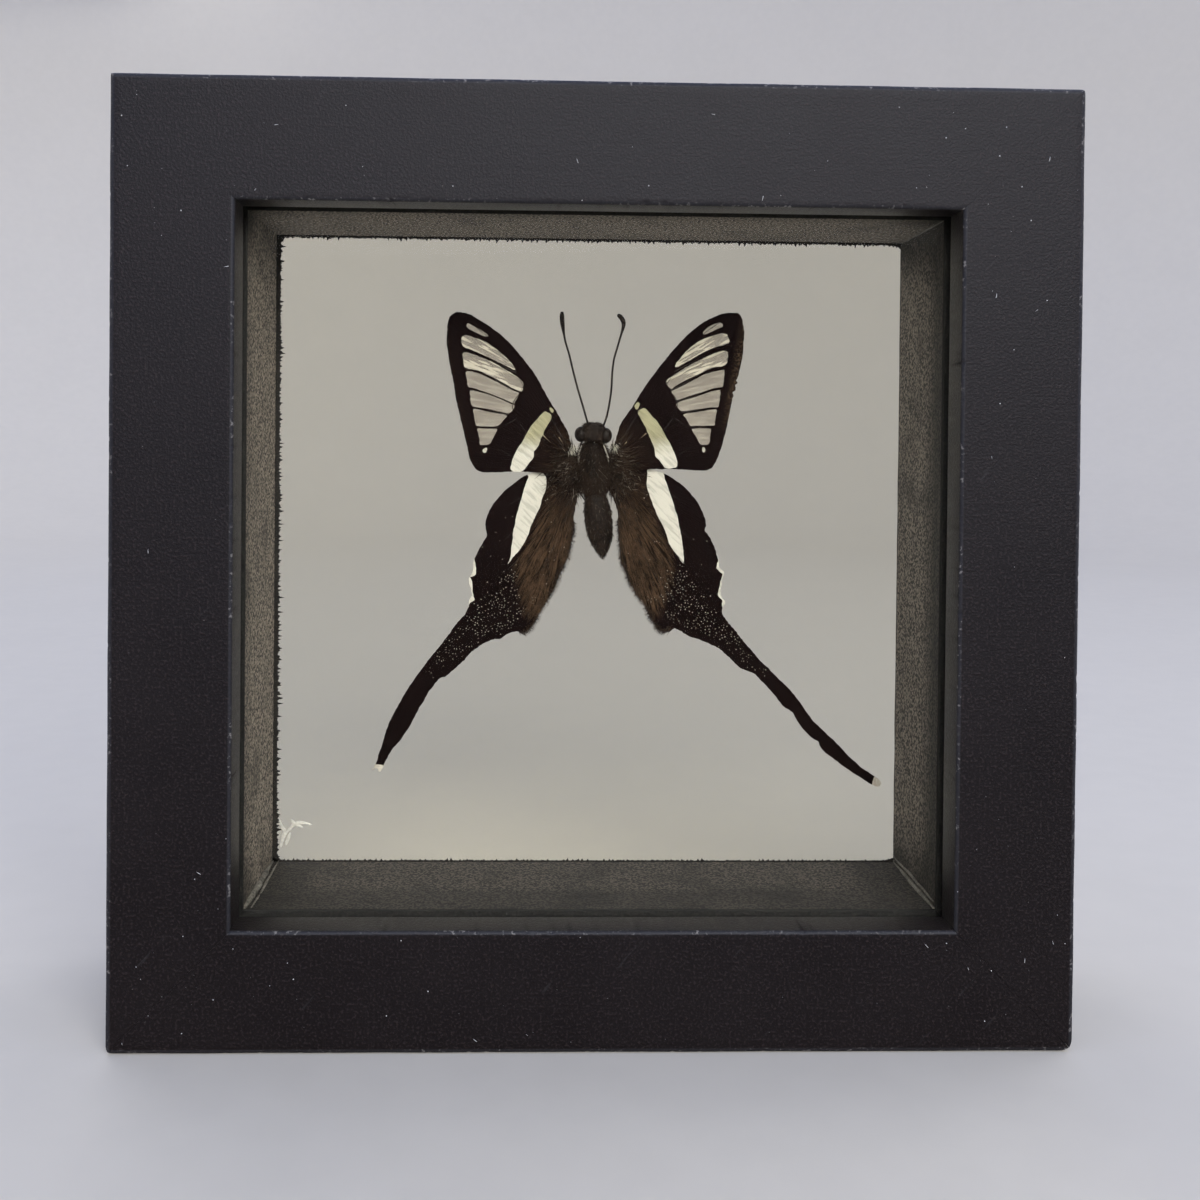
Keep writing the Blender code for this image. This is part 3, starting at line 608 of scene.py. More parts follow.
def scatter_recipe():
    """Small shapes scattered over a surface where its cover is painted, lying along its flow."""
    recipe = Recipe("scattered_shapes")
    shape = recipe.input("Shape", "Object")
    density = recipe.input("Density", "Float", 1.0e6)
    apart = recipe.input("Apart", "Float", 0.0)
    shortest = recipe.input("Shortest", "Float", 0.0005)
    longest = recipe.input("Longest", "Float", 0.001)
    spread = recipe.input("Spread", "Float", 0.3)
    lift = recipe.input("Lift", "Float", 0.3)
    material = recipe.input("Material", "Material")
    seed = recipe.input("Seed", "Int", 1)
    cover = recipe.node("GeometryNodeInputNamedAttribute", {"data_type": "FLOAT"}, {"Name": "cover"})
    points = recipe.node("GeometryNodeDistributePointsOnFaces", {"distribute_method": "POISSON"}, {
        "Mesh": recipe.geometry(), "Distance Min": apart, "Density Max": density, "Density Factor": cover,
        "Seed": seed}, "Points")
    normal = Wire(recipe, points.socket.node.outputs["Normal"])
    flow = recipe.node("GeometryNodeInputNamedAttribute", {"data_type": "FLOAT_VECTOR"}, {"Name": "flow"})
    lying = recipe.node("FunctionNodeAxesToRotation", {"primary_axis": "Z", "secondary_axis": "X"},
                        {"Primary Axis": normal, "Secondary Axis": flow})
    sideways = recipe.chance(spread * -1.0, spread, seed + 11)
    upwards = recipe.chance(lift * -1.6, lift * -0.4, seed + 23)
    bend = recipe.node("ShaderNodeCombineXYZ", None, {"Y": upwards, "Z": sideways})
    turn = recipe.node("FunctionNodeEulerToRotation", None, {"Euler": bend})
    turned = recipe.node("FunctionNodeRotateRotation", {"rotation_space": "LOCAL"},
                         {"Rotation": lying, "Rotate By": turn})
    size = recipe.chance(shortest, longest, seed + 37)
    placed = recipe.node("GeometryNodeObjectInfo", {"transform_space": "ORIGINAL"},
                         {"Object": shape}, "Geometry")
    copies = recipe.node("GeometryNodeInstanceOnPoints", None,
                         {"Points": points, "Instance": placed, "Rotation": turned, "Scale": size})
    recipe.end(copies, material)
    return recipe


# ---- finishes

def dimmed(colour, share):
    """A colour with each of its parts multiplied."""
    return tuple(part * share for part in colour)


def black_paint(settings):
    """Thin satin paint over sanded wood: fine pimples, faint brush marks, rubbed edges, a painted highlight
    on arrises.
    """
    finish = Finish("black_satin_paint")
    base = settings.paint_colour
    pimples = finish.noise(0.34, 3.0)
    fine = finish.noise(0.09, 2.0)
    clouds = finish.noise(14.0, 3.0)
    brushed = finish.noise(0.7, 3.0, finish.stretched((14.0, 1.0, 1.0)))
    scuffs = finish.mask(finish.noise(0.9, 4.0, finish.stretched((1.0, 1.0, 7.0), (0, 0.7, 0))), 0.68, 0.78)
    arris = finish.attribute("arris")
    rubbed = arris * finish.mask(finish.noise(0.55, 3.0), 0.56, 0.68)
    rubbed = rubbed * finish.mask(finish.noise(9.0, 2.0), 0.42, 0.6) * settings.edge_wear
    colour = finish.mix(clouds, dimmed(base, 0.8), dimmed(base, 1.35))
    colour = finish.mix(finish.mask(pimples, 0.52, 0.66) * 0.5, colour, dimmed(base, 4))
    colour = finish.mix(scuffs * 0.16, colour, (0.08, 0.078, 0.08))
    # Painted highlight: a bluish-grey catch-light along every arris, standing in for the sky's reflection on
    # the rounded edges.
    colour = finish.mix(arris * 0.18, colour, (0.10, 0.11, 0.13))
    colour = finish.mix(rubbed, colour, (0.34, 0.32, 0.31))
    rough = settings.paint_roughness + pimples * 0.3 + clouds * 0.1 + scuffs * 0.1 - 0.2
    return finish.surface(colour, rough, 0.25, pimples * 0.6 + fine * 0.25 + brushed * 0.15, 0.10)


def spacer_stain(settings):
    """Rough, dusty, dark-stained inner walls, with painted shade laid over them."""
    finish = Finish("spacer_stain")
    grit = finish.noise(0.36, 3.0)
    blotch = finish.noise(1.6, 3.0)
    clouds = finish.noise(11.0, 2.0)
    inside = 1.0 - finish.attribute("arris") * 0.9
    dust = finish.mask(grit, 0.42, 0.60) * finish.mask(clouds, 0.1, 0.5) * inside
    colour = finish.mix(blotch, (0.020, 0.018, 0.017), (0.058, 0.052, 0.045))
    colour = finish.mix(dust * 0.75, colour, settings.wall_dust)
    # Painted shade: the 'shade' value darkens the walls towards the front, into the corners and on the sides
    # turned away from the light.
    colour = finish.mix(finish.attribute("shade") * 0.85, colour, (0.010, 0.010, 0.011))
    return finish.surface(colour, 0.6 + grit * 0.2, 0.3, (grit * 0.7 + blotch * 0.3 - 0.5) * inside, 0.22)


def stop_paint():
    """The matt black of the strips behind the rear pane."""
    finish = Finish("stop_paint")
    fibres = finish.noise(0.3, 3.0, finish.stretched((5.0, 1.0, 1.0)))
    colour = finish.mix(finish.noise(3.0, 2.0), (0.008, 0.008, 0.008), (0.020, 0.019, 0.018))
    return finish.surface(colour, 0.55 + fibres * 0.2, 0.35, fibres, 0.05)


def pane_glass(name, settings):
    """Clear, warm-tinted glass: faintly of its own, the rest painted shade that darkens what lies behind;
    roughness where it has been touched.
    """
    finish = Finish(name)
    smudge = finish.mask(finish.noise(9.0, 3.0, finish.stretched((1.0, 1.0, 2.6), (0, 0.5, 0))), 0.56, 0.82)
    return finish.surface(settings.tint_and_shade, smudge * 0.025, more={"Transmission Weight": 1.0, "IOR": 1.08})


def dark_scales(name, settings):
    """Rows of tiny scales: near black, turning brown and streaked where that is painted."""
    finish = Finish(name)
    streaks = finish.row_streaks((3.0, 60.0, 1.0), 4.0)
    scales = finish.noise(0.16, 2.0)
    patches = finish.noise(2.2, 3.0)
    worn = finish.attribute("worn") * finish.mask(finish.noise(0.3, 3.0), 0.45, 0.65)
    colour = finish.mix(patches, settings.dark, dimmed(settings.dark, 1.7))
    furred = finish.mix(finish.mask(streaks, 0.42, 0.60), dimmed(settings.brown, 0.10), settings.brown)
    colour = finish.mix(finish.attribute("warm") * 0.9, colour, furred)
    colour = finish.mix(worn * 0.6, colour, settings.worn_margin)
    return finish.surface(colour, 0.62 + scales * 0.2, 0.03, scales * 0.4 + streaks * 0.6, 0.06)


def pale_scales(settings):
    """The white band scales, creamier and greener on the upper part of the forewings, with painted shade
    along their creases.
    """
    finish = Finish("pale_scales")
    height = finish.node("ShaderNodeSeparateXYZ", None, {"Vector": finish.place}, "Z")
    height = height * (1 / MM) - MIDDLE.z / MM
    creases = finish.noise(0.55, 3.0, finish.stretched((6.0, 1.0, 1.0), (0, 0.75, 0)))
    scales = finish.noise(0.14, 2.0)
    upper = finish.mask(height + finish.noise(1.8, 2.0) * 2.0, 15.5, 19.0)
    # Painted shade: the band colours darken along the creases.
    white = finish.mix(finish.mask(creases, 0.38, 0.52), dimmed(settings.white, 0.78), settings.white)
    green = finish.mix(finish.mask(creases, 0.3, 0.6), dimmed(settings.green, 0.72), settings.green)
    return finish.surface(finish.mix(upper, white, green), 0.6, 0.25, creases * 0.8 + scales * 0.2, 0.14)


def window_membrane(name, settings, line_colour, line_cover):
    """The clear skin of a window, with pale creases that follow the veins: the pale is a painted glint."""
    finish = Finish(name)
    streaks = finish.row_streaks((2.2, 42.0, 1.0), 3.0, 0.4)
    grain = finish.noise(0.25, 3.0)
    lines = finish.mask(streaks, 0.47, 0.56)
    # Painted highlight: the creases are laid over with a pale glint colour.
    colour = finish.mix(lines * line_colour, settings.membrane, settings.crease_and_glint)
    cover = 0.28 + grain * 0.18 + lines * line_cover
    return finish.surface(colour, 0.34 + grain * 0.2, 0.4, streaks, 0.12, {"Alpha": cover})


def plain_finish(name, dark, light, grain, rough, lump=0.03, shine=0.5, more=None):
    """A finish between two shades, with a little bump of its own grain."""
    finish = Finish(name)
    grit = finish.noise(grain, 3.0)
    soft = finish.noise(grain * 7, 2.0)
    colour = finish.mix(finish.mask(grit * 0.6 + soft * 0.4, 0.3, 0.7), dark, light)
    return finish.surface(colour, rough + grit * 0.12, shine, grit, lump, more)


# ---- meshes

def smooth_run(points, spacing, closed):
    """Evenly spaced points on a smooth line through the given ones."""
    count = len(points)
    spans = count if closed else count - 1
    run = []
    for index in range(spans):
        if closed:
            around = [Vector(points[(index + step) % count]) for step in (-1, 0, 1, 2)]
        else:
            around = [Vector(points[min(max(index + step, 0), count - 1)]) for step in (-1, 0, 1, 2)]
        before, start, end, after = around
        steps = max(1, round((end - start).length / spacing))
        lead = (end - before) * 0.5
        trail = (after - start) * 0.5
        reach = (end - start).length
        for pull in (lead, trail):
            if pull.length > reach:
                pull *= reach / pull.length
        for step in range(steps):
            t = step / steps
            run.append(start * (2 * t**3 - 3 * t**2 + 1) + lead * (t**3 - 2 * t**2 + t)
                       + end * (3 * t**2 - 2 * t**3) + trail * (t**3 - t**2))
    if not closed:
        run.append(Vector(points[-1]))
    return run


def roughened(run, amount, grain):
    """The run with each point moved a little, so that the edge isn't drawn with a ruler."""
    moved = []
    for point in run:
        place = Vector((point.x / grain, point.y / grain, 3.1))
        aside = Vector((noise.noise(place), noise.noise(place + Vector((9.7, 4.1, 0)))))
        moved.append(point + aside * amount)
    return moved


def link(name, data):
    """Put a new object with this data into the scene."""
    made = bpy.data.objects.new(name, data)
    bpy.context.scene.collection.objects.link(made)
    return made


def mesh_from(name, points, faces, smooth=True):
    """A mesh of these places in metres and faces."""
    mesh = bpy.data.meshes.new(name)
    mesh.from_pydata(points, [], faces)
    if smooth:
        mesh.shade_smooth()
    return mesh


def outward(mesh):
    """Turn the faces of a closed mesh outwards."""
    shell = bmesh.new()
    shell.from_mesh(mesh)
    bmesh.ops.recalc_face_normals(shell, faces=shell.faces)
    shell.to_mesh(mesh)
    shell.free()


def paint(mesh, name, values):
    """A value for each vertex, for the finish or the scatter to read."""
    mesh.attributes.new(name, "FLOAT", "POINT").data.foreach_set("value", values)


def paint_flow(mesh, ways):
    """A direction for each vertex, for the scattered shapes to lie along."""
    layer = mesh.attributes.new("flow", "FLOAT_VECTOR", "POINT")
    layer.data.foreach_set("vector", [part for way in ways for part in way])


def add_piece(name, mesh, materials=(), replaces=()):
    """Put a finished mesh into the specimen as a piece."""
    for material in materials:
        mesh.materials.append(material)
    mesh.name = name
    piece = link(name, mesh)
    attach(piece, "root")
    if replaces:
        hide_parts(*replaces)
    return piece


def hidden_shape(name, mesh):
    """A small shape for a scatter to copy, kept out of the scene."""
    mesh.name = name
    return bpy.data.objects.new(name, mesh)


def rounded_corner(corner, start_way, end_way, radius, steps):
    """Points that round a square corner of a section, each with how much of an edge it is."""
    corner, start_way, end_way = Vector(corner), Vector(start_way), Vector(end_way)
    centre = corner + (start_way + end_way) * radius
    points = []
    for step in range(steps + 1):
        turn = pi / 2 * step / steps
        reach = end_way * -cos(turn) + start_way * -sin(turn)
        points.append((*(centre + reach * radius), sin(2 * turn) ** 0.5))
    return points


def plain_run(start, end, spacing):
    """Points along a straight side of a section, without its ends."""
    start, end = Vector(start), Vector(end)
    steps = max(1, round((end - start).length / spacing))
    return [(*start.lerp(end, step / steps), 0.0) for step in range(1, steps)]


def round_corner(along, height, corner):
    """Pull a point that lies outside the frame's rounded corner back onto it."""
    radius = CORNER_ROUNDS[corner]
    core = HALF_SIDE - radius
    past = Vector((abs(along) - core, height - core))
    if min(past) > 0 and past.length > radius:
        past *= radius / past.length
        return copysign(core + past.x, along), core + past.y
    return along, height


def turned(side, along, depth, height):
    """A point of the top side's section, turned onto one of the four sides."""
    turn = radians(SIDES[side])
    return drawn(along * cos(turn) + height * sin(turn), depth,
                 height * cos(turn) - along * sin(turn))


def ring_faces(rings, around, capped=False):
    """The faces between rings of points that follow one another, and over the end rings."""
    faces = []
    for low in range(0, (rings - 1) * around, around):
        high = low + around
        for step in range(around):
            ahead = (step + 1) % around
            faces.append((low + step, low + ahead, high + ahead, high + step))
    if capped:
        faces += [tuple(range(around)), tuple(range((rings - 1) * around, rings * around))]
    return faces


def strip_mesh(name, side, section, spacing, shape):
    """A strip along one side of the frame, mitred at both ends. shape moves each point."""
    start_gap, end_gap = (MITRE_OPENINGS[corner] for corner in CORNERS[side])
    stations = max(2, round(2 * HALF_SIDE / spacing))
    points, edges = [], []
    for station in range(stations + 1):
        share = 2 * station / stations - 1
        gap = start_gap if share < 0 else end_gap
        for depth, height, edge in section:
            along = share * (height - gap)
            depth_now, height_now = shape(along, depth, height, edge)
            along, height_now = round_corner(along, height_now, CORNERS[side][along > 0])
            points.append(turned(side, along, depth_now, height_now))
            edges.append(edge)
    mesh = mesh_from(name, points, ring_faces(stations + 1, len(section), capped=True))
    outward(mesh)
    mesh.set_sharp_from_angle(angle=radians(35))
    paint(mesh, "arris", edges)
    return mesh


def signed_reach(loop):
    """A function that says how far inside a loop a point is, negative outside."""
    run = smooth_run(loop, 0.3, closed=True)
    tree = kdtree.KDTree(len(run))
    for index, point in enumerate(run):
        tree.insert((point.x, point.y, 0), index)
    tree.balance()

    def reach(x, y):
        distance = tree.find((x, y, 0))[2]
        inside = False
        for index, point in enumerate(run):
            other = run[index - 1]
            if (point.y > y) != (other.y > y):
                if x < (other.x - point.x) * (y - point.y) / (other.y - point.y) + point.x:
                    inside = not inside
        return distance if inside else -distance

    return reach


def left_turning(loop):
    """The loop in the order that keeps its inside on the left."""
    area = sum(point.cross(loop[index - 1]) for index, point in enumerate(loop))
    return loop if area < 0 else loop[::-1]


def step_up(value, low, high):
    """A smooth step from 0 at low to 1 at high."""
    t = min(max((value - low) / (high - low), 0.0), 1.0)
    return t * t * (3 - 2 * t)


def wing_faces(outline, regions, spacing, seed):
    """Triangles that fill an outline, each with the number of the region that it lies in."""
    loops = [roughened(smooth_run(outline, 0.16, closed=True), 0.10, 0.36)]
    loops += [roughened(smooth_run(loop, 0.14, closed=True), 0.08, 0.36) for _, loop in regions]
    flat, rings = [], []
    for loop in loops:
        rings.append(list(range(len(flat), len(flat) + len(loop))))
        flat.extend(left_turning(loop))
    chance = random.Random(seed)
    low = [min(point[axis] for point in outline) for axis in (0, 1)]
    high = [max(point[axis] for point in outline) for axis in (0, 1)]
    row_height = spacing * sqrt(3) / 2
    for row in range(int((high[1] - low[1]) / row_height) + 1):
        for column in range(int((high[0] - low[0]) / spacing) + 1):
            x = low[0] + (column + 0.5 * (row % 2)) * spacing + chance.uniform(-0.2, 0.2) * spacing
            y = low[1] + row * row_height + chance.uniform(-0.2, 0.2) * spacing
            flat.append(Vector((x, y)))
    places, _, triangles, _, _, owners = delaunay_2d_cdt(flat, [], rings, 1, 1e-4)
    kept = []
    for triangle, owner in zip(triangles, owners):
        if 0 not in owner:
            continue
        first, second, third = (places[index] for index in triangle)
        if (second - first).cross(third - first) < 0:
            triangle = list(reversed(triangle))
        inner = [regions[number - 1][0] for number in owner if number > 0]
        kept.append((triangle, inner[-1] if inner else 0))
    return places, kept


def wing_mesh(name, outline, regions, side, depth, thickness, thin, swell, seed):
    """A wing as a thin closed sheet. thin is the set of regions that are clear skin."""
    places, kept = wing_faces(outline, regions, 0.34, seed)
    used = sorted({index for triangle, _ in kept for index in triangle})
    number = {index: order for order, index in enumerate(used)}
    clear = {index for triangle, region in kept if region in thin for index in triangle}
    solid = {index for triangle, region in kept if region not in thin for index in triangle}
    points, spots = [], [places[index] for index in used]
    for face_side in (-1, 1):
        for index, spot in zip(used, spots):
            half = thickness / 2
            if index in clear and index not in solid:
                half *= 0.35
            bow = swell(spot.x, spot.y)
            points.append(drawn(spot.x, depth + bow + face_side * half, spot.y))
    count = len(used)
    faces, kinds, edges = [], [], {}
    for triangle, region in kept:
        a, b, c = (number[index] for index in triangle)
        faces.append((a, b, c))
        faces.append((c + count, b + count, a + count))
        kinds += [region, region]
        for start, end in ((a, b), (b, c), (c, a)):
            edges[(start, end)] = region
    for (start, end), region in edges.items():
        if (end, start) not in edges:
            faces.append((end, start, start + count, end + count))
            kinds.append(region)
    mesh = mesh_from(name, points, faces)
    mesh.polygons.foreach_set("material_index", kinds)
    rows = mesh.uv_layers.new(name="rows")
    for face in mesh.polygons:
        centre = Vector((WINDOW_FANS if face.material_index in thin else WING_ROOTS)[side])
        for index in face.loop_indices:
            away = spots[mesh.loops[index].vertex_index % count] - centre
            rows.data[index].uv = (away.length / 10, atan2(away.y, abs(away.x)))
    mesh.set_sharp_from_angle(angle=radians(60))
    return mesh, spots


def tubes(runs, material, sides, spacing, lumps=0.0, pitch=0.3, ring_depth=0.0):
    """One mesh of tubes through runs of (x, depth, height, radius), with every size in millimetres."""
    curve = bpy.data.curves.new("runs", "CURVE")
    curve.dimensions = "3D"
    for run in runs:
        spline = curve.splines.new("POLY")
        spline.points.add(len(run) - 1)
        for knot, (x, depth, height, radius) in zip(spline.points, run):
            knot.co = (*drawn(x, depth, height), 1.0)
            knot.radius = radius * MM
    return tube_recipe().run(curve, {
        "Sides": sides, "Spacing": spacing * MM, "Ring Pitch": pitch * MM, "Ring Depth": ring_depth,
        "Lumps": lumps, "Material": material})


def scatter(name, bed, shape, material, density, sizes, spread, lift, seed, apart=0.0):
    """Scatter a shape over a bed as one piece: so many to a square millimetre, sized in millimetres."""
    shortest, longest = sizes
    mesh = scatter_recipe().run(bed, {
        "Shape": shape, "Density": density * 1e6, "Apart": apart * MM, "Shortest": shortest * MM,
        "Longest": longest * MM, "Spread": spread, "Lift": lift, "Material": material, "Seed": seed})
    bpy.data.meshes.remove(bed)
    if mesh.polygons:
        add_piece(name, mesh)


def bed_of(piece_name, cover, flow):
    """A copy of a piece's mesh with its cover and flow painted from each vertex's place."""
    bed = bpy.data.objects[piece_name].data.copy()
    places = [(vertex.co - MIDDLE) / MM for vertex in bed.vertices]
    paint(bed, "cover", [max(0.0, min(1.0, cover(place))) for place in places])
    paint_flow(bed, [flow(place) for place in places])
    return bed


def strand_mesh(thickness, bow):
    """A tapered, slightly bowed hair, one long, that lies along X and lifts towards its tip."""
    points = []
    for along, width in ((0.0, 1.0), (0.35, 0.85), (0.7, 0.55)):
        for corner in range(3):
            angle = 2 * pi * corner / 3
            points.append((along, cos(angle) * thickness * width / 2,
                           sin(angle) * thickness * width / 2 + bow * along * (1 - along)))
    points.append((1.0, 0.0, 0.0))
    return mesh_from("strand", points, ring_faces(3, 3) + [(6, 7, 9), (7, 8, 9), (8, 6, 9), (2, 1, 0)])


def flake_mesh(thickness, seed):
    """A low crooked flake, one wide."""
    chance = random.Random(seed)
    rim = []
    for corner in range(6):
        angle = 2 * pi * corner / 6
        reach = chance.uniform(0.34, 0.52)
        rim.append((cos(angle) * reach, sin(angle) * reach))
    points = [(x, y, 0.0) for x, y in rim] + [(x * 0.62, y * 0.62, thickness) for x, y in rim]
    points.append((0.0, 0.0, thickness * 1.25))
    faces = []
    for corner in range(6):
        ahead = (corner + 1) % 6
        faces.append((corner, ahead, ahead + 6, corner + 6))
        faces.append((corner + 6, ahead + 6, 12))
    faces.append((5, 4, 3, 2, 1, 0))
    return mesh_from("flake", points, faces)


def turned_body(name, top, tip_shift, half_widths, depth, flattening, shape):
    """A body piece from its half widths down its length. shape swells or pinches each point."""
    around, length = 40, half_widths[-1][0]
    rows = smooth_run(half_widths, length / 56, closed=False)[1:-1]
    points = []
    for along, half in rows:
        share, half = along / length, max(half, 0.0)
        for step in range(around):
            angle = 2 * pi * step / around
            swell = shape(share, angle, half)
            x = top[0] + tip_shift * share + sin(angle) * half * swell
            points.append(drawn(x, depth - cos(angle) * half * flattening * swell, top[1] - along))
    points.append(drawn(top[0], depth, top[1]))
    points.append(drawn(top[0] + tip_shift, depth, top[1] - length))
    faces, last = ring_faces(len(rows), around), (len(rows) - 1) * around
    for step in range(around):
        ahead = (step + 1) % around
        faces.append((ahead, step, len(points) - 2))
        faces.append((last + step, last + ahead, len(points) - 1))
    mesh = mesh_from(name, points, faces)
    outward(mesh)
    return mesh


# ---- settings

def colour_setting(name, description, default):
    """A colour that a user can change."""
    return FloatVectorProperty(name=name, description=description, subtype="COLOR", size=3, min=0, max=1,
                               default=default)


def amount_setting(name, description, default, most, least=0.0, **unit):
    """A number that a user can change."""
    return FloatProperty(name=name, description=description, min=least, max=most, default=default, **unit)


def length_setting(name, description, default, least, most):
    """A length that a user can change, in metres."""
    return amount_setting(name, description, default, most, least, unit="LENGTH", subtype="DISTANCE")


class FrameSettings(bpy.types.PropertyGroup):
    """Paint and edges of the wooden strips."""

    paint_colour: colour_setting("Paint", "Colour of the satin paint on the rails", (0.0096, 0.0068, 0.0068))
    paint_roughness: amount_setting(
        "Paint Roughness", "How dull the paint is", 0.42, 1, 0.1, subtype="FACTOR")
    edge_wear: amount_setting("Edge Wear", "How much of the arrises is rubbed", 0.55, 1, subtype="FACTOR")
    wall_dust: colour_setting("Wall Dust", "Colour of the dust on the inner walls", (0.51, 0.44, 0.375))
    edge_round: length_setting("Edge Rounding", "Radius of the outer edges", 0.0008, 0.0001, 0.003)
    lip_round: length_setting("Lip Rounding", "Radius of the lip's front edge", 0.0005, 0.0001, 0.002)


class GlassSettings(bpy.types.PropertyGroup):
    """The two panes."""

    # Partly painted shade: the panes are tinted darker and warmer than the glass itself, to shade what lies
    # behind them.
    tint_and_shade: colour_setting("Tint", "Colour of light through one pane", (0.875, 0.855, 0.775))


class WingSettings(bpy.types.PropertyGroup):
    """Colours and thickness of the wings."""

    dark: colour_setting("Dark Scales", "The near black of the wings", (0.0046, 0.0023, 0.0023))
    brown: colour_setting("Brown Hair", "The brown of the inner hindwings", (0.085, 0.052, 0.032))
    white: colour_setting("White Band", "The white of the bands", (0.64, 0.62, 0.565))
    green: colour_setting("Green Band", "The green cream of the upper forewing bands", (0.37, 0.35, 0.225))
    membrane: colour_setting("Window Skin", "The skin of the clear windows", (0.19, 0.145, 0.10))
    # Pale creases of the windows, their pale a painted glint.
    crease_and_glint: colour_setting("Window Creases", "The pale creases of the windows", (0.60, 0.56, 0.47))
    worn_margin: colour_setting("Worn Margin", "Where margins have lost their scales", (0.14, 0.095, 0.06))
    thickness: length_setting("Wing Thickness", "Thickness of the scaled parts", 0.00016, 0.00002, 0.0003)


class HairSettings(bpy.types.PropertyGroup):
    """Hair, dust and lint."""

    wing_hair: amount_setting("Wing Hair", "Hairs in each square millimetre of the inner hindwing", 34, 200)
    body_fur: amount_setting("Body Fur", "Hairs in each square millimetre of the body", 36, 200)
    dots: amount_setting("White Dots", "Flecks in each square millimetre of the dusted part", 13, 50)
    lint: amount_setting("Lint", "Bits of lint in each square centimetre of the frame", 1.2, 10)
    seed: IntProperty(name="Seed", description="Where the hairs and bits fall", min=1, max=9999, default=7)


class StageSettings(bpy.types.PropertyGroup):
    """The floor, the lights and the camera."""

    floor_colour: colour_setting("Floor", "Colour of the floor", (0.73, 0.69, 0.62))
    radius: length_setting("Sweep Radius", "How far the floor reaches before it curves up", 1.3, 0.3, 5)
    key_power: amount_setting("Key Light", "Power of the large soft light in front", 10, 200, unit="POWER")
    sky: amount_setting("Sky", "Strength of the light from all round", 0.5, 5)


class SpecimenSettings(bpy.types.PropertyGroup):
    """All that a user would change."""

    wood: PointerProperty(type=FrameSettings, name="Frame", description="Wooden strips")
    glass: PointerProperty(type=GlassSettings, name="Glass", description="Panes")
    wings: PointerProperty(type=WingSettings, name="Wings", description="Wings")
    hair: PointerProperty(type=HairSettings, name="Hair", description="Hair, dust and lint")
    stage: PointerProperty(type=StageSettings, name="Stage", description="Floor and lights")


# ---- operators

class SPECIMEN_OT_stage(bpy.types.Operator):
    """Set the floor, the lights and the camera."""

    bl_idname = "specimen.stage"
    bl_label = "Stage"

    # Each lamp's name, place, size, share of the key light's power, and colour.
    LAMPS = (
        ("key", (0.20, -0.97, 0.60), (1.1, 0.7), 1.0, (0.97, 0.985, 1.0)),
        ("fill", (0.85, 0.35, 0.9), (0.8, 0.8), 0.20, (1.0, 0.98, 0.95)),
        ("back", (-0.6, 0.9, 0.85), (0.9, 0.6), 0.25, (1.0, 0.99, 0.97)),
    )
    LENS = {"lens": 36.0, "sensor_width": 36.0, "shift_x": 0.0367, "shift_y": -0.1172, "clip_start": 0.005}
    CAMERA_PLACE = (-0.00966, -0.17184, 0.0795)
    CAMERA_TURN = (pi / 2 - 0.0113, -0.0096, -0.0254)

    def execute(self, context):
        settings = context.scene.specimen.stage
        self.make_floor(settings)
        self.make_lights(context, settings)
        self.make_camera(context)
        context.scene.view_settings.view_transform = "Standard"
        return {"FINISHED"}

    def make_floor(self, settings):
        """A round floor that curves up into a wall all round, in a front and a back half."""
        flat, bend = settings.radius * 0.62, settings.radius * 0.38
        profile = [(settings.radius * share, 0.0) for share in (0.02, 0.1, 0.25, 0.45, 0.62)]
        for step in range(1, 17):
            turn = pi / 2 * step / 16
            profile.append((flat + bend * sin(turn), bend * (1 - cos(turn))))
        profile.append((settings.radius, settings.radius * 0.95))
        pale = settings.floor_colour
        material = plain_finish("pale_floor", dimmed(pale, 0.97), pale, 8.0, 0.7, 0.01)
        for name, first in (("floor_back", 0.0), ("floor_front", pi)):
            steps, points, faces = 48, [(0.0, 0.0, 0.0)], []
            for reach, height in profile:
                for step in range(steps + 1):
                    angle = first + pi * step / steps
                    points.append((cos(angle) * reach, sin(angle) * reach, height))
            for step in range(steps):
                faces.append((0, step + 1, step + 2))
                for ring in range(len(profile) - 1):
                    low, high = ring * (steps + 1) + 1, (ring + 1) * (steps + 1) + 1
                    faces.append((low + step, high + step, high + step + 1, low + step + 1))
            floor = link(name, mesh_from(name, points, faces))
            floor.data.materials.append(material)
            # The front half would show in the glass as a pale veil over the darks.
            floor.visible_glossy = name == "floor_back"

    def make_lights(self, context, settings):
        """A soft sky and two large lamps."""
        world = bpy.data.worlds.new("studio")
        world.use_nodes = True
        sky = Builder(world.node_tree)
        way = sky.node("ShaderNodeTexCoord", output="Generated")
        height = sky.node("ShaderNodeSeparateXYZ", None, {"Vector": way}, "Z")
        rise = sky.mask(height, -0.45, 0.55)
        colour = sky.mix(rise, (0.12, 0.095, 0.085), (0.66, 0.85, 1.50))
        glow = sky.node("ShaderNodeBackground", None, {"Color": colour, "Strength": settings.sky})
        sky.tree.links.new(glow.socket, sky.tree.nodes["World Output"].inputs["Surface"])
        context.scene.world = world
        for name, place, size, share, colour in self.LAMPS:
            light = bpy.data.lights.new(name, "AREA")
            light.shape = "RECTANGLE"
            light.size, light.size_y = size
            light.energy = settings.key_power * share
            light.color = colour
            lamp = link(name, light)
            lamp.location = place
            lamp.rotation_euler = (MIDDLE - Vector(place)).to_track_quat("-Z", "Y").to_euler()

    def make_camera(self, context):
        """A camera close to the front, a little above and left of the middle."""
        lens = bpy.data.cameras.new("camera")
        for name, value in self.LENS.items():
            setattr(lens, name, value)
        camera = link("camera", lens)
        camera.location = self.CAMERA_PLACE
        camera.rotation_euler = self.CAMERA_TURN
        context.scene.camera = camera


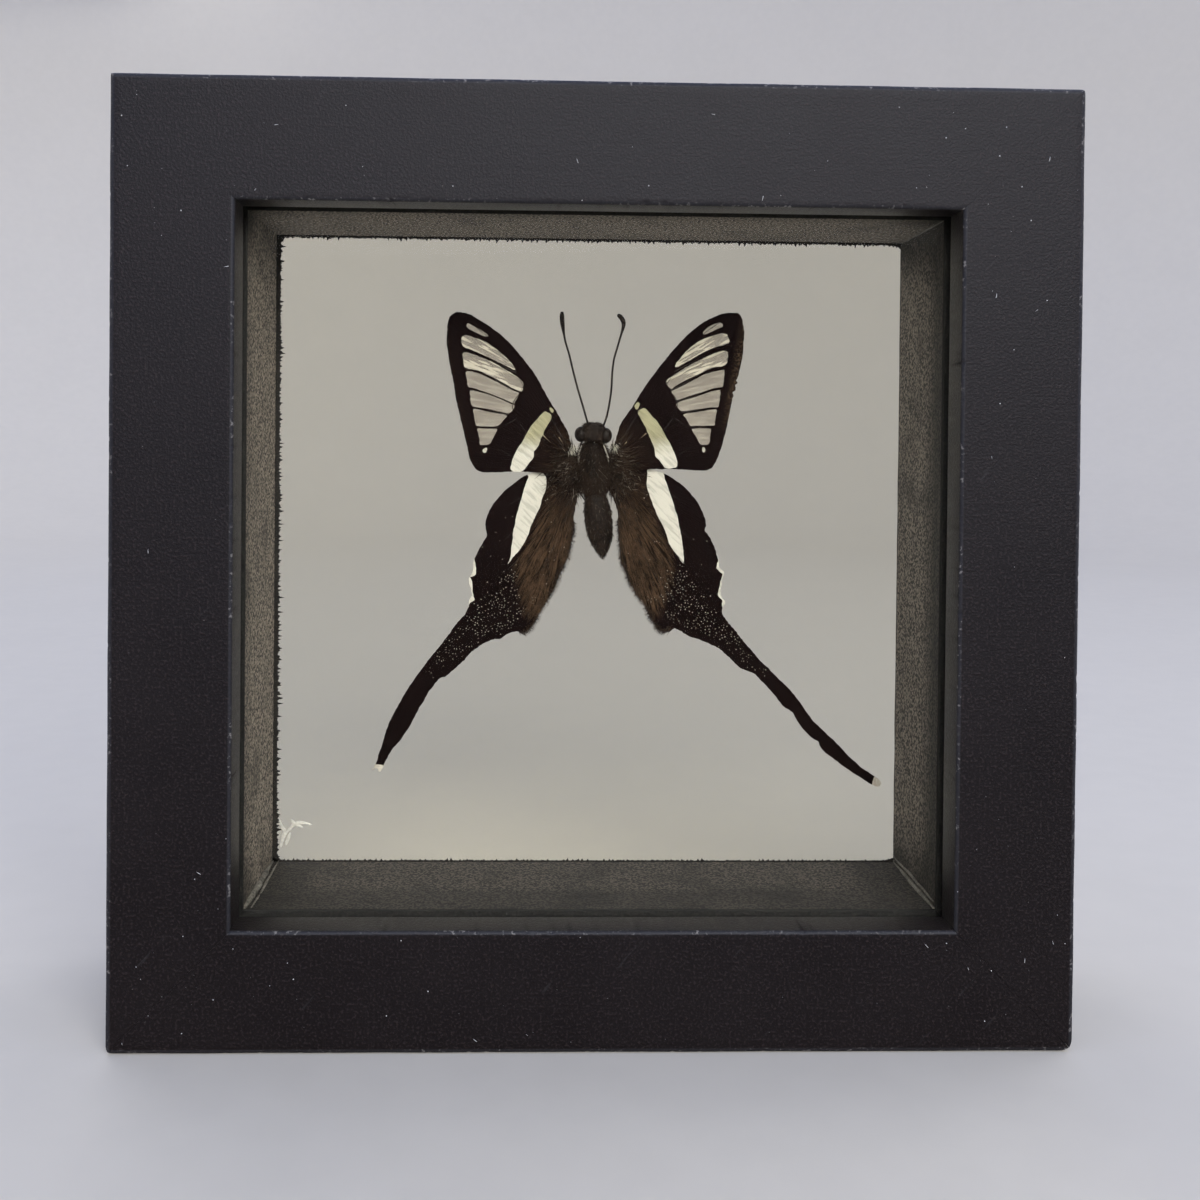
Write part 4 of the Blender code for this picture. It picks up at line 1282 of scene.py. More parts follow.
class SPECIMEN_OT_rails(bpy.types.Operator):
    """Build the four painted rails."""

    bl_idname = "specimen.rails"
    bl_label = "Rails"

    def execute(self, context):
        settings = context.scene.specimen.wood
        material = black_paint(settings)
        section = self.section(settings.edge_round / MM, settings.lip_round / MM)
        for side in SIDES:
            mesh = strip_mesh(f"painted_rail_{side}", side, section, 0.4, self.wear)
            add_piece(mesh.name, mesh, (material,), (f"rail_{side}",))
        return {"FINISHED"}

    def section(self, outer, lip):
        """The rail's section, once round, with its corners rounded."""
        inward, outward, back, front = (0, -1), (0, 1), (1, 0), (-1, 0)
        points = rounded_corner((0, HALF_SIDE), back, inward, outer, 7)
        points.append((0, HALF_SIDE - outer - 0.9, 0.0))
        points += plain_run((0, HALF_SIDE - outer - 0.9), (0, LIP_HEIGHT + lip + 0.4), 3.0)
        points.append((0, LIP_HEIGHT + lip + 0.4, 0.0))
        points += rounded_corner((0, LIP_HEIGHT), outward, back, lip, 6)
        points += rounded_corner((LIP_DEPTH, LIP_HEIGHT), front, outward, 0.15, 2)
        points += [(LIP_DEPTH, HALF_REBATE, 0.0)]
        points += rounded_corner((FRAME_DEPTH, HALF_REBATE), front, outward, 0.3, 3)
        points += rounded_corner((FRAME_DEPTH, HALF_SIDE), inward, front, outer, 6)
        points += plain_run((FRAME_DEPTH - outer, HALF_SIDE), (outer, HALF_SIDE), 4.0)
        return points

    def wear(self, along, depth, height, edge):
        """Small dents and waves along the arrises."""
        if edge <= 0:
            return depth, height
        place = Vector((along * 0.9, depth * 0.6, height * 0.6))
        wave = noise.noise(place * 0.12) * 0.05
        dent = max(0.0, noise.noise(place * 1.7) - 0.42) * 0.35
        toward_back = 1 if depth < FRAME_DEPTH / 2 else -1
        away = 1 if height < HALF_REBATE else -1
        return depth + toward_back * (wave * 0.3 + dent) * edge, height + away * (wave + dent) * edge


class SPECIMEN_OT_spacers(bpy.types.Operator):
    """Build the four stained spacer strips that make the inner walls."""

    bl_idname = "specimen.spacers"
    bl_label = "Spacers"

    # Painted shade for each strip: how much darker it is made, as the light falls on its side.
    SIDE_SHADE = {"top": -0.5, "left": -0.32, "right": 0.36, "bottom": 0.86}

    def execute(self, context):
        material = spacer_stain(context.scene.specimen.wood)
        section = [(SPACER_START, HALF_PANE, 0.0)]
        section += rounded_corner((SPACER_START, HALF_OPENING), (0, 1), (1, 0), 0.25, 3)
        section += plain_run((SPACER_START + 0.25, HALF_OPENING), (SPACER_END - 0.25, HALF_OPENING), 0.5)
        section += rounded_corner((SPACER_END, HALF_OPENING), (-1, 0), (0, 1), 0.25, 3)
        section += [(SPACER_END, HALF_PANE, 0.0)]
        for side in SIDES:
            mesh = strip_mesh(f"stained_spacer_{side}", side, section, 0.55, self.roughness)
            self.paint_shade(mesh, self.SIDE_SHADE[side])
            add_piece(mesh.name, mesh, (material,), (f"spacer_{side}",))
        return {"FINISHED"}

    def roughness(self, along, depth, height, edge):
        """A coarse, hand-painted surface on the inner face."""
        if height > HALF_OPENING + 0.3 and edge == 0:
            return depth, height
        place = Vector((along, depth, height))
        rough = noise.noise(place * 0.8) * 0.05 + noise.noise(place * 2.1) * 0.035
        return depth, height + rough * step_up(depth, SPACER_START + 0.2, SPACER_START + 2.5)

    def paint_shade(self, mesh, side_shade):
        """Painted shade: darker towards the front, into the corners, and by side as the light falls."""
        values = []
        for vertex in mesh.vertices:
            x, depth, z = (vertex.co - MIDDLE) / MM
            corner = step_up(min(abs(x), abs(z)), HALF_OPENING - 9, HALF_OPENING)
            front = 1 - step_up(depth, SPACER_START, SPACER_START + 9)
            blotch = 0.5 + 0.5 * noise.noise(Vector((x, depth, z)) * 0.35)
            shade = min(1.0, max(0.0, side_shade + 0.75 * front + corner * (0.35 + 0.5 * blotch)))
            # The front faces of the strips take full painted shade.
            values.append(shade if depth > SPACER_START + 0.2 else 1.15)
        paint(mesh, "shade", values)


class SPECIMEN_OT_stops(bpy.types.Operator):
    """Build the four stop strips behind the rear pane."""

    bl_idname = "specimen.stops"
    bl_label = "Back Stops"

    def execute(self, context):
        material = stop_paint()
        section = [(STOP_START, HALF_PANE, 0.0)]
        section += rounded_corner((STOP_START, STOP_HEIGHT), (0, 1), (1, 0), 0.2, 2)
        section += rounded_corner((STOP_END, STOP_HEIGHT), (-1, 0), (0, 1), 0.4, 4)
        section += [(STOP_END, HALF_PANE, 0.0)]
        for side in SIDES:
            mesh = strip_mesh(f"painted_stop_{side}", side, section, 1.0, self.waves)
            add_piece(mesh.name, mesh, (material,), (f"back_stop_{side}",))
        return {"FINISHED"}

    def waves(self, along, depth, height, edge):
        """The strip isn't quite straight."""
        if height > STOP_HEIGHT + 1:
            return depth, height
        return depth, height + noise.noise(Vector((along * 0.15, depth, height))) * 0.08


class SPECIMEN_OT_panes(bpy.types.Operator):
    """Finish the two panes."""

    bl_idname = "specimen.panes"
    bl_label = "Panes"

    def execute(self, context):
        settings = context.scene.specimen.glass
        for node in ("front_glass", "rear_glass"):
            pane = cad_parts[node]
            pane.data.materials.clear()
            pane.data.materials.append(pane_glass(node, settings))
            pane.visible_shadow = False
        return {"FINISHED"}


class SPECIMEN_OT_sealing_edge(bpy.types.Operator):
    """Build the ragged black edge where the rear pane is sealed."""

    bl_idname = "specimen.sealing_edge"
    bl_label = "Ragged Edge"

    # For each side: how far the edge shows inside the opening, and how ragged it is.
    REACHES = {"top": (0.22, 0.62), "right": (-0.25, 0.15), "bottom": (0.05, 0.42), "left": (0.50, 1.0)}

    def execute(self, context):
        material = plain_finish("sealing_edge", (0.004, 0.003, 0.003), (0.02, 0.016, 0.014), 0.2, 0.7)
        for side, (reach, ragged) in self.REACHES.items():
            mesh = self.edge_mesh(side, reach, ragged)
            add_piece(f"sealing_edge_{side}", mesh, (material,))
        return {"FINISHED"}

    def edge_mesh(self, side, reach, ragged):
        """A thin strip whose inner edge is torn."""
        near, far = SPACER_END + 0.04, REAR_GLASS_FRONT - 0.03
        outer = HALF_OPENING + 0.9
        stations, points = 760, []
        for station in range(stations + 1):
            along = (2 * station / stations - 1) * HALF_OPENING
            place = Vector((along, SIDES[side], 0.0))
            torn = abs(noise.noise(place * 1.3)) * 0.6 + max(0.0, noise.noise(place * 3.6)) * 1.2
            corner = exp(-(HALF_OPENING - abs(along)) / 0.7) * 0.5
            inner = HALF_OPENING - reach - torn * ragged - corner * (reach > 0)
            points += [turned(side, along, near, outer), turned(side, along, near, inner + 0.05),
                       turned(side, along, far, inner), turned(side, along, far, outer)]
        faces = ring_faces(stations + 1, 4, capped=True)
        mesh = mesh_from(f"sealing_edge_{side}", points, faces, smooth=False)
        outward(mesh)
        return mesh

def forewing_bow(x, y):
    """How far the forewings bow towards the back."""
    return noise.noise(Vector((x * 0.14, y * 0.14, 5.0))) * 0.16


def hindwing_bow(x, y):
    """How far the hindwings bow towards the back."""
    wave = noise.noise(Vector((x * 0.13, y * 0.13, 8.0))) * 0.2
    return wave + noise.noise(Vector((x * 0.5, y * 0.12, 2.0))) * 0.05


class SPECIMEN_OT_forewings(bpy.types.Operator):
    """Build the two forewings with their windows and bands."""

    bl_idname = "specimen.forewings"
    bl_label = "Forewings"

    def execute(self, context):
        settings = context.scene.specimen.wings
        materials = (
            dark_scales("forewing_scales", settings),
            window_membrane("window_skin", settings, 0.45, 0.05),
            window_membrane("creased_window_skin", settings, 1.0, 0.36),
            pale_scales(settings),
        )
        for side in WINGS:
            self.build(side, materials, settings.thickness / MM)
        return {"FINISHED"}

    def build(self, side, materials, thickness):
        """One forewing."""
        windows = WINDOWS[side]
        regions = [(2 if order in CREASED_WINDOWS else 1, loop) for order, loop in enumerate(windows)]
        regions += [(3, loop) for loop in (FOREWING_BAND[side], *PALE_MARKS[side])]
        root = WING_ROOTS[side]
        skins = [signed_reach(loop) for loop in windows]

        def swell(x, y):
            pleat = max(0.0, max(min(reach(x, y), 0.6) for reach in skins))
            return forewing_bow(x, y) + pleat * 0.14

        mesh, spots = wing_mesh(f"scaled_forewing_{side}", FOREWING[side], regions, side,
                                middle_depth(f"forewing_{side}"), thickness, {1, 2}, swell, 11)
        paint(mesh, "warm", [self.warmth(spot, root) for spot in spots] * 2)
        paint(mesh, "worn", [self.wear(spot, side) for spot in spots] * 2)
        add_piece(mesh.name, mesh, materials, (f"forewing_{side}",))

    def warmth(self, spot, root):
        """Browner towards the root."""
        return 0.35 * (1 - step_up((spot - Vector(root)).length, 3.0, 9.0))

    def wear(self, spot, side):
        """Scales rubbed off the outer margin, more on the right wing."""
        if side == "right":
            margin = step_up(spot.x - (17.7 + (spot.y - 13) * 0.19), 0.2, 1.2)
            return margin * step_up(spot.y, 18.0, 21.0) * 0.9
        return 0.15 * step_up(-spot.x - (16.8 + (spot.y - 13) * 0.19), 0.2, 1.2)


class SPECIMEN_OT_hindwings(bpy.types.Operator):
    """Build the two tailed hindwings with their bands, fringes and brown inner parts."""

    bl_idname = "specimen.hindwings"
    bl_label = "Hindwings"

    def execute(self, context):
        settings = context.scene.specimen.wings
        tip = plain_finish("bare_tail_tip", (0.30, 0.26, 0.22), (0.62, 0.58, 0.52), 0.2, 0.5)
        materials = (dark_scales("hindwing_scales", settings), pale_scales(settings), tip)
        for side in WINGS:
            regions = [(1, HINDWING_BAND[side]), (1, FRINGE[side]), (2, TAIL_TIP[side])]
            mesh, spots = wing_mesh(f"scaled_hindwing_{side}", HINDWING[side], regions, side,
                                    middle_depth(f"hindwing_{side}"), settings.thickness / MM,
                                    set(), hindwing_bow, 17)
            warm = self.warmth(signed_reach(BROWN[side]), Vector(WING_ROOTS[side]))
            paint(mesh, "warm", [warm(spot) for spot in spots] * 2)
            paint(mesh, "worn", [0.0] * (2 * len(spots)))
            add_piece(mesh.name, mesh, materials, (f"hindwing_{side}",))
        return {"FINISHED"}

    def warmth(self, reach, root):
        """A function that says how brown a spot is: less so near the root."""
        def warm(spot):
            away = step_up((spot - root).length, 3.5, 11.0)
            return step_up(reach(spot.x, spot.y), -0.6, 1.6) * (0.15 + 0.85 * away)

        return warm


class SPECIMEN_OT_body(bpy.types.Operator):
    """Build the head with its eyes, the thorax and the ringed abdomen."""

    bl_idname = "specimen.body"
    bl_label = "Body"

    PALE_LINES = (
        [(-1.35, 16.1), (-1.62, 15.2), (-1.72, 14.2), (-1.66, 13.2)],
        [(1.85, 16.2), (2.25, 15.2), (2.60, 14.2), (2.66, 13.3)],
    )

    def execute(self, context):
        skin = plain_finish("body_skin", (0.005, 0.003, 0.003), (0.024, 0.015, 0.011), 0.3, 0.6, 0.08, 0.25)
        middle = middle_depth("thorax")
        pieces = (
            ("head", HEAD_TOP, 0.0, HEAD_HALF_WIDTHS, 0.75, self.lumpy),
            ("thorax", THORAX_TOP, 0.2, THORAX_HALF_WIDTHS, 0.92, self.lumpy),
            ("abdomen", ABDOMEN_TOP, ABDOMEN_TIP[0] - ABDOMEN_TOP[0], ABDOMEN_HALF_WIDTHS, 0.9, self.ringed),
        )
        for node, top, shift, widths, flattening, shape in pieces:
            mesh = turned_body(f"furred_{node}", top, shift, widths, middle, flattening, shape)
            add_piece(mesh.name, mesh, (skin,), (node,))
        pale = plain_finish("shoulder_scales", (0.26, 0.24, 0.21), (0.62, 0.59, 0.53), 0.2, 0.6)
        runs = [self.on_thorax(line, middle) for line in self.PALE_LINES]
        add_piece("shoulder_lines", tubes(runs, pale, 8, 0.12, lumps=1.6))
        return {"FINISHED"}

    def on_thorax(self, line, middle):
        """A line along the thorax, tapering at both ends."""
        half = max(width for _, width in THORAX_HALF_WIDTHS)
        points = smooth_run(line, 0.15, closed=False)
        knots = []
        for order, point in enumerate(points):
            across = min(0.96, abs(point.x - THORAX_TOP[0] - 0.1) / half)
            depth = middle - 0.90 * half * sqrt(1 - across * across) - 0.12
            radius = 0.05 + 0.10 * sin(pi * order / (len(points) - 1))
            knots.append((point.x, depth, point.y, radius))
        return knots

    def lumpy(self, share, angle, half):
        """Slightly uneven, with a shallow groove down the back."""
        place = Vector((sin(angle) * 1.5, cos(angle) * 1.5, share * 7))
        groove = exp(-(sin(angle) / 0.12) ** 2) * 0.05 * (cos(angle) > 0)
        return 0.97 + noise.noise(place) * 0.06 - groove

    def ringed(self, share, angle, half):
        """Eight rings, each overlapping the next."""
        ring = (share * 8) % 1.0
        place = Vector((sin(angle) * 2, cos(angle) * 2, share * 9))
        return 0.93 + 0.07 * (1 - ring) ** 0.5 + noise.noise(place) * 0.04


class SPECIMEN_OT_antennae(bpy.types.Operator):
    """Build the two ringed, clubbed antennae."""

    bl_idname = "specimen.antennae"
    bl_label = "Antennae"

    def execute(self, context):
        horn = plain_finish("antenna_horn", (0.005, 0.004, 0.004), (0.018, 0.012, 0.010), 0.2, 0.5, 0.03, 0.2)
        for side, points in ANTENNAE.items():
            depth = middle_depth(f"antenna_{side}")
            line = smooth_run(points, 0.25, closed=False)
            run = []
            for order, point in enumerate(line):
                share = order / (len(line) - 1)
                club = step_up(share, 0.78, 0.93) * (1 - 0.75 * step_up(share, 0.965, 1.0))
                run.append((point.x, depth, point.y, 0.15 + 0.20 * club))
            mesh = tubes([run], horn, 12, 0.06, pitch=0.34, ring_depth=0.13)
            add_piece(f"ringed_antenna_{side}", mesh, (), (f"antenna_{side}",))
        return {"FINISHED"}


class SPECIMEN_OT_eyes(bpy.types.Operator):
    """Build the two eyes, each a dome of many small facets."""

    bl_idname = "specimen.eyes"
    bl_label = "Eyes"

    def execute(self, context):
        horn = plain_finish("eye_facets", (0.004, 0.003, 0.003), (0.020, 0.013, 0.010), 0.16, 0.34, 0.03, 0.2)
        depth = middle_depth("head") - 0.1
        around, rows, tall = 36, 22, 1.15
        points, faces = [], []
        for x, height in ((-1.42, 17.75), (2.27, 17.6)):
            start = len(points)
            for row in range(1, rows):
                polar = pi * row / rows
                for step in range(around):
                    angle = 2 * pi * (step + 0.5 * (row % 2)) / around
                    swell = 1 + 0.012 * ((row + step) % 2)
                    points.append(drawn(
                        x + 0.95 * sin(polar) * cos(angle) * swell,
                        depth + 1.05 * sin(polar) * sin(angle) * swell,
                        height + tall * cos(polar) * swell))
            points += [drawn(x, depth, height + tall), drawn(x, depth, height - tall)]
            last = start + (rows - 2) * around
            for step in range(around):
                ahead = (step + 1) % around
                for low in range(start, last, around):
                    faces.append((low + step, low + around + step, low + around + ahead, low + ahead))
                faces.append((start + step, start + ahead, len(points) - 2))
                faces.append((last + ahead, last + step, len(points) - 1))
        mesh = mesh_from("eyes", points, faces)
        outward(mesh)
        add_piece("faceted_eyes", mesh, (horn,))
        return {"FINISHED"}


class SPECIMEN_OT_veins(bpy.types.Operator):
    """Lay the veins along the wings."""

    bl_idname = "specimen.veins"
    bl_label = "Veins"

    def execute(self, context):
        dark = plain_finish("vein_scales", (0.006, 0.004, 0.004), (0.018, 0.011, 0.009), 0.25, 0.6)
        pale = plain_finish("rubbed_vein", (0.16, 0.12, 0.08), (0.42, 0.35, 0.25), 0.3, 0.6)
        for name, wing, bow, veins, radius, material in (
                ("forewing", "forewing", forewing_bow, VEINS, 0.105, dark),
                ("hindwing", "hindwing", hindwing_bow, HIND_VEINS, 0.10, dark),
                ("rubbed", "forewing", forewing_bow, RUBBED_VEINS, 0.11, pale)):
            for side in WINGS:
                depth = middle_depth(f"{wing}_{side}")
                runs = [self.run(line, depth, bow, radius) for line in veins[side]]
                mesh = tubes(runs, material, 8, 0.22, lumps=0.5, pitch=0.4)
                add_piece(f"{name}_veins_{side}", mesh)
        return {"FINISHED"}

    def run(self, line, depth, bow, radius):
        """A tapering line on the wing."""
        points = smooth_run(line, 0.4, closed=False)
        knots = []
        for order, point in enumerate(points):
            taper = 1 - 0.55 * order / (len(points) - 1)
            knots.append((point.x, depth + bow(point.x, point.y), point.y, radius * taper))
        return knots


class SPECIMEN_OT_hair(bpy.types.Operator):
    """Grow the hair: on the inner hindwings and their margins, the wing roots and the body."""

    bl_idname = "specimen.hair"
    bl_label = "Hair"

    TUFTS = {"left": (-2.6, 15.6), "right": (3.4, 16.0)}

    # How many of the last points of a hindwing's outline run along its inner margin.
    MARGIN_POINTS = 22

    def execute(self, context):
        settings = context.scene.specimen.hair
        self.strand = hidden_shape("strand", strand_mesh(0.08, 0.18))
        self.seed = settings.seed
        self.brown = plain_finish("brown_hair", (0.014, 0.008, 0.005), (0.125, 0.075, 0.045), 0.8, 0.55,
                                  0.02, 0.12)
        self.dark = plain_finish("dark_hair", (0.005, 0.003, 0.003), (0.062, 0.040, 0.028), 0.3, 0.55,
                                 0.02, 0.12)
        self.pale = plain_finish("pale_hair", (0.55, 0.52, 0.44), (0.82, 0.79, 0.70), 0.3, 0.6)
        self.grey = plain_finish("grey_hair", (0.14, 0.12, 0.10), (0.42, 0.38, 0.32), 0.3, 0.6)
        for side in WINGS:
            self.grow_wing(side, settings.wing_hair)
            self.grow_root(side)
            self.grow_tuft(side)
        self.grow_body(settings.body_fur)
        return {"FINISHED"}

    def grow(self, name, bed, slot, material, sizes, density, spread, lift):
        """One growth of hair as a piece, with a seed of its own."""
        self.seed += 1
        scatter(name, bed, self.strand, material, density, sizes, spread, lift, self.seed)

    def grow_wing(self, side, density):
        """Brown hair over the inner part, a hanging fringe inside, and the white fringe outside."""
        wing = f"scaled_hindwing_{side}"
        root = Vector(WING_ROOTS[side])
        away_from_body = -1 if side == "left" else 1
        inner, outer = signed_reach(BROWN[side]), signed_reach(FRINGE[side])
        margin = smooth_run(HINDWING[side][-self.MARGIN_POINTS:], 0.25, closed=False)

        def fanned(place):
            away = place.xz - root
            wander = noise.noise(Vector((place.x * 0.5, place.z * 0.5, 1.0))) * 0.25
            return Vector((away.x - away.y * wander, 0.0, away.y + away.x * wander)).normalized()

        def streaked(place):
            """Hair lies in streaks that fan out from the root, where it is thin."""
            away = place.xz - root
            fan = noise.noise(Vector((atan2(away.x, -away.y) * 16, away.length * 0.12, 6.0)))
            streak = (0.42 + 1.5 * fan) * step_up(away.length, 2.0, 12.0)
            return step_up(inner(place.x, place.z), 0.0, 2.0) * streak

        def near_margin(place):
            nearest = min((point - place.xz).length for point in margin)
            return (1 - step_up(nearest, 0.15, 0.9)) * (place.z < 5)

        def on_fringe(place):
            return step_up(outer(place.x, place.z), -0.02, 0.1)

        hanging = Vector((-away_from_body * 0.8, 0.0, -0.75)).normalized()
        sideways = Vector((away_from_body * 0.9, 0.0, -0.4)).normalized()
        self.grow(f"hindwing_hair_{side}", bed_of(wing, streaked, fanned), "wing_scales", self.brown,
                  (0.5, 1.3), density, 0.18, 0.10)
        self.grow(f"margin_hair_{side}", bed_of(wing, near_margin, lambda place: hanging), "wing_scales",
                  self.dark, (0.4, 1.0), density * 1.6, 0.5, 0.12)
        self.grow(f"fringe_hair_{side}", bed_of(wing, on_fringe, lambda place: sideways), "wing_scales",
                  self.pale, (0.10, 0.22), density * 0.8, 0.9, 0.15)

    def grow_root(self, side):
        """Long fur where the wings meet the body."""
        root = Vector(WING_ROOTS[side])
        density = 26.0

        def flow(place):
            away = place.xz - root
            return Vector((away.x, 0.0, away.y - 1.2)).normalized()

        for wing, reach in (("forewing", 5.2), ("hindwing", 6.0)):
            def cover(place):
                return 1 - step_up((place.xz - root).length, 1.5, reach)

            name = f"scaled_{wing}_{side}"
            self.grow(f"{wing}_root_fur_{side}", bed_of(name, cover, flow), "body_hair", self.dark,
                      (0.7, 1.9), density, 0.6, 0.3)
            self.grow(f"{wing}_root_pale_hair_{side}", bed_of(name, cover, flow), "body_hair", self.grey,
                      (0.4, 1.2), density * 0.16, 0.9, 0.35)

    def grow_tuft(self, side):
        """A pale tuft at the forewing's root."""
        tuft = Vector(self.TUFTS[side])
        down = Vector((0.2, 0.0, -1.0)).normalized()
        bed = bed_of(f"scaled_forewing_{side}",
                     lambda place: 1 - step_up((place.xz - tuft).length, 0.2, 0.75), lambda place: down)
        self.grow(f"white_tuft_{side}", bed, "body_hair", self.pale, (0.6, 1.3), 130.0, 0.45, 0.9)

    def grow_body(self, density):
        """Fur over the head, the thorax and the abdomen, lying backwards."""
        def down(place):
            return Vector((0.25 if place.x > 0.6 else -0.25, 0.0, -1.0)).normalized()

        for name, node, material, sizes, share, spread, lift in (
                ("head_fur", "head", self.dark, (0.25, 0.6), 1.0, 0.45, 0.4),
                ("thorax_fur", "thorax", self.dark, (0.5, 1.3), 1.0, 0.45, 0.5),
                ("abdomen_fur", "abdomen", self.dark, (0.3, 0.75), 1.0, 0.45, 0.3),
                # The thorax's grey hair is partly real and partly a painted highlight: there is more of it to
                # stand in for the thorax's sheen.
                ("thorax_pale_hair", "thorax", self.grey, (0.3, 0.8), 0.07, 0.6, 0.5),
                ("abdomen_pale_hair", "abdomen", self.grey, (0.3, 0.7), 0.03, 0.6, 0.5)):
            bed = bed_of(f"furred_{node}", lambda place: 1.0, down)
            self.grow(name, bed, "body_hair", material, sizes, density * share, spread, lift)


class SPECIMEN_OT_flecks(bpy.types.Operator):
    """Dust the hindwings with white flecks, and loosen some scales at the windows' edges."""

    bl_idname = "specimen.flecks"
    bl_label = "Flecks"

    # Where scales are rubbed off in small patches.
    MARKS = (
        (-10.9, -9.3), (-10.3, -8.8), (-9.8, -8.3), (-8.3, -7.0), (9.0, -6.9), (9.6, -6.8), (10.3, -6.7),
        (11.2, -3.8), (10.0, 1.9), (-6.0, 10.5), (-6.5, 8.0), (-5.2, 9.6), (6.1, 9.9), (8.5, 8.7),
        (5.4, 10.8),
    )

    def execute(self, context):
        settings = context.scene.specimen.hair
        flake = hidden_shape("flake", flake_mesh(0.16, 5))
        white = plain_finish("white_flecks", (0.30, 0.28, 0.24), (0.66, 0.63, 0.56), 0.3, 0.6)
        for side in WINGS:
            inside = signed_reach(DUSTED[side])

            def cover(place):
                fade = 1 - 0.55 * step_up(-place.z, 12.0, 20.0)
                clump = 0.75 + 0.9 * noise.noise(Vector((place.x * 0.7, place.z * 0.7, 2.0)))
                near = min((place.xz - Vector(mark)).length for mark in self.MARKS)
                rubbed = 1.2 * (1 - step_up(near, 0.25, 0.6)) + 0.035 * (place.z > -7)
                return step_up(inside(place.x, place.z), -0.3, 0.9) * fade * clump + rubbed

            bed = bed_of(f"scaled_hindwing_{side}", cover, lambda place: (0.0, 0.0, -1.0))
            scatter(f"white_flecks_{side}", bed, flake, white, settings.dots, (0.08, 0.18),
                    3.1, 0.05, settings.seed + 61, apart=0.31)
        return {"FINISHED"}


class SPECIMEN_OT_glue(bpy.types.Operator):
    """Build the glue: the dot behind the body, the smear on the glass and the beads in the corners."""

    bl_idname = "specimen.glue"
    bl_label = "Glue"

    # Strokes of dried glue on the rear pane, low on the left.
    STROKES = (
        [(-46.5, -41.0), (-46.2, -42.0), (-45.7, -42.9), (-45.9, -43.9), (-46.3, -45.5)],
        [(-46.0, -43.9), (-45.1, -42.8), (-44.2, -41.9), (-43.3, -41.6), (-41.6, -41.9)],
        [(-44.7, -41.1), (-44.1, -41.8), (-43.0, -42.3)],
        [(-45.5, -45.0), (-45.1, -44.0), (-44.8, -43.1)],
    )

    # For each bead: where it runs back along an inner corner, its radius, and how far it wanders.
    BEADS = (
        (HALF_OPENING - 0.10, -HALF_OPENING + 0.10, 0.36, 0.1),
        (HALF_OPENING - 0.15, -HALF_OPENING + 1.05, 0.24, 0.3),
        (-HALF_OPENING + 0.15, -HALF_OPENING + 0.2, 0.50, 0.1),
        (-HALF_OPENING + 1.0, -HALF_OPENING + 0.10, 0.22, 0.3),
        (HALF_OPENING - 0.02, HALF_OPENING - 0.05, 0.13, 0.0),
    )

    def execute(self, context):
        self.make_dot()
        self.make_smear()
        self.make_beads()
        return {"FINISHED"}

    def make_dot(self):
        """A drop pressed between the thorax and the rear pane."""
        clear = plain_finish("clear_glue", (0.62, 0.54, 0.38), (0.80, 0.74, 0.60), 0.8, 0.14, 0.05,
                             more={"Transmission Weight": 0.55, "IOR": 1.47})
        low, high = node_box("glue_dot")
        middle, radius = (low + high) / 2, (high.x - low.x) / 2
        start, end = low.y - 0.5, REAR_GLASS_FRONT - 0.01
        rings, around, points = 14, 40, []
        for ring in range(rings + 1):
            share = ring / rings
            waist = 0.72 + 0.28 * (2 * share - 1) ** 2
            for step in range(around):
                angle = 2 * pi * step / around
                lump = 1 + noise.noise(Vector((cos(angle), sin(angle), share))) * 0.14
                reach = radius * waist * lump
                points.append(drawn(middle.x + cos(angle) * reach, start + (end - start) * share,
                                    middle.z + sin(angle) * reach))
        mesh = mesh_from("glue", points, ring_faces(rings + 1, around, capped=True))
        outward(mesh)
        mesh.set_sharp_from_angle(angle=radians(50))
        add_piece("pressed_glue_dot", mesh, (clear,), ("glue_dot",))

    def make_smear(self):
        """The strokes, pressed flat on the rear pane."""
        white = plain_finish("smeared_glue", (0.62, 0.61, 0.58), (0.92, 0.91, 0.88), 0.4, 0.25, 0.08,
                             more={"Alpha": 0.92})
        depth, flatness = REAR_GLASS_FRONT - 0.08, 0.3
        runs = []
        for stroke in self.STROKES:
            line = smooth_run(stroke, 0.12, closed=False)
            runs.append([(point.x, depth, point.y, 0.27 * sin(pi * order / (len(line) + 1)) + 0.05)
                         for order, point in enumerate(line, 1)])
        mesh = tubes(runs, white, 10, 0.12, lumps=1.2)
        back = MIDDLE.y + depth * MM
        for vertex in mesh.vertices:
            vertex.co.y = back + (vertex.co.y - back) * flatness
        add_piece("glue_smear", mesh)

    def make_beads(self):
        """Thin beads of glue along the inner corners."""
        dusty = plain_finish("dusty_glue", (0.05, 0.046, 0.04), (0.24, 0.225, 0.20), 0.35, 0.5, 0.08)
        start, end, steps = SPACER_START + 0.3, SPACER_END - 0.3, 40
        runs = []
        for x, height, radius, wander in self.BEADS:
            run = []
            for step in range(steps + 1):
                depth = start + (end - start) * step / steps
                drift = noise.noise(Vector((depth * 0.3, x, height))) * wander
                taper = sin(pi * min(1.0, step / steps * 0.8 + 0.15))
                run.append((x, depth, height + drift, radius * taper))
            runs.append(run)
        add_piece("corner_glue", tubes(runs, dusty, 9, 0.25, lumps=1.3))


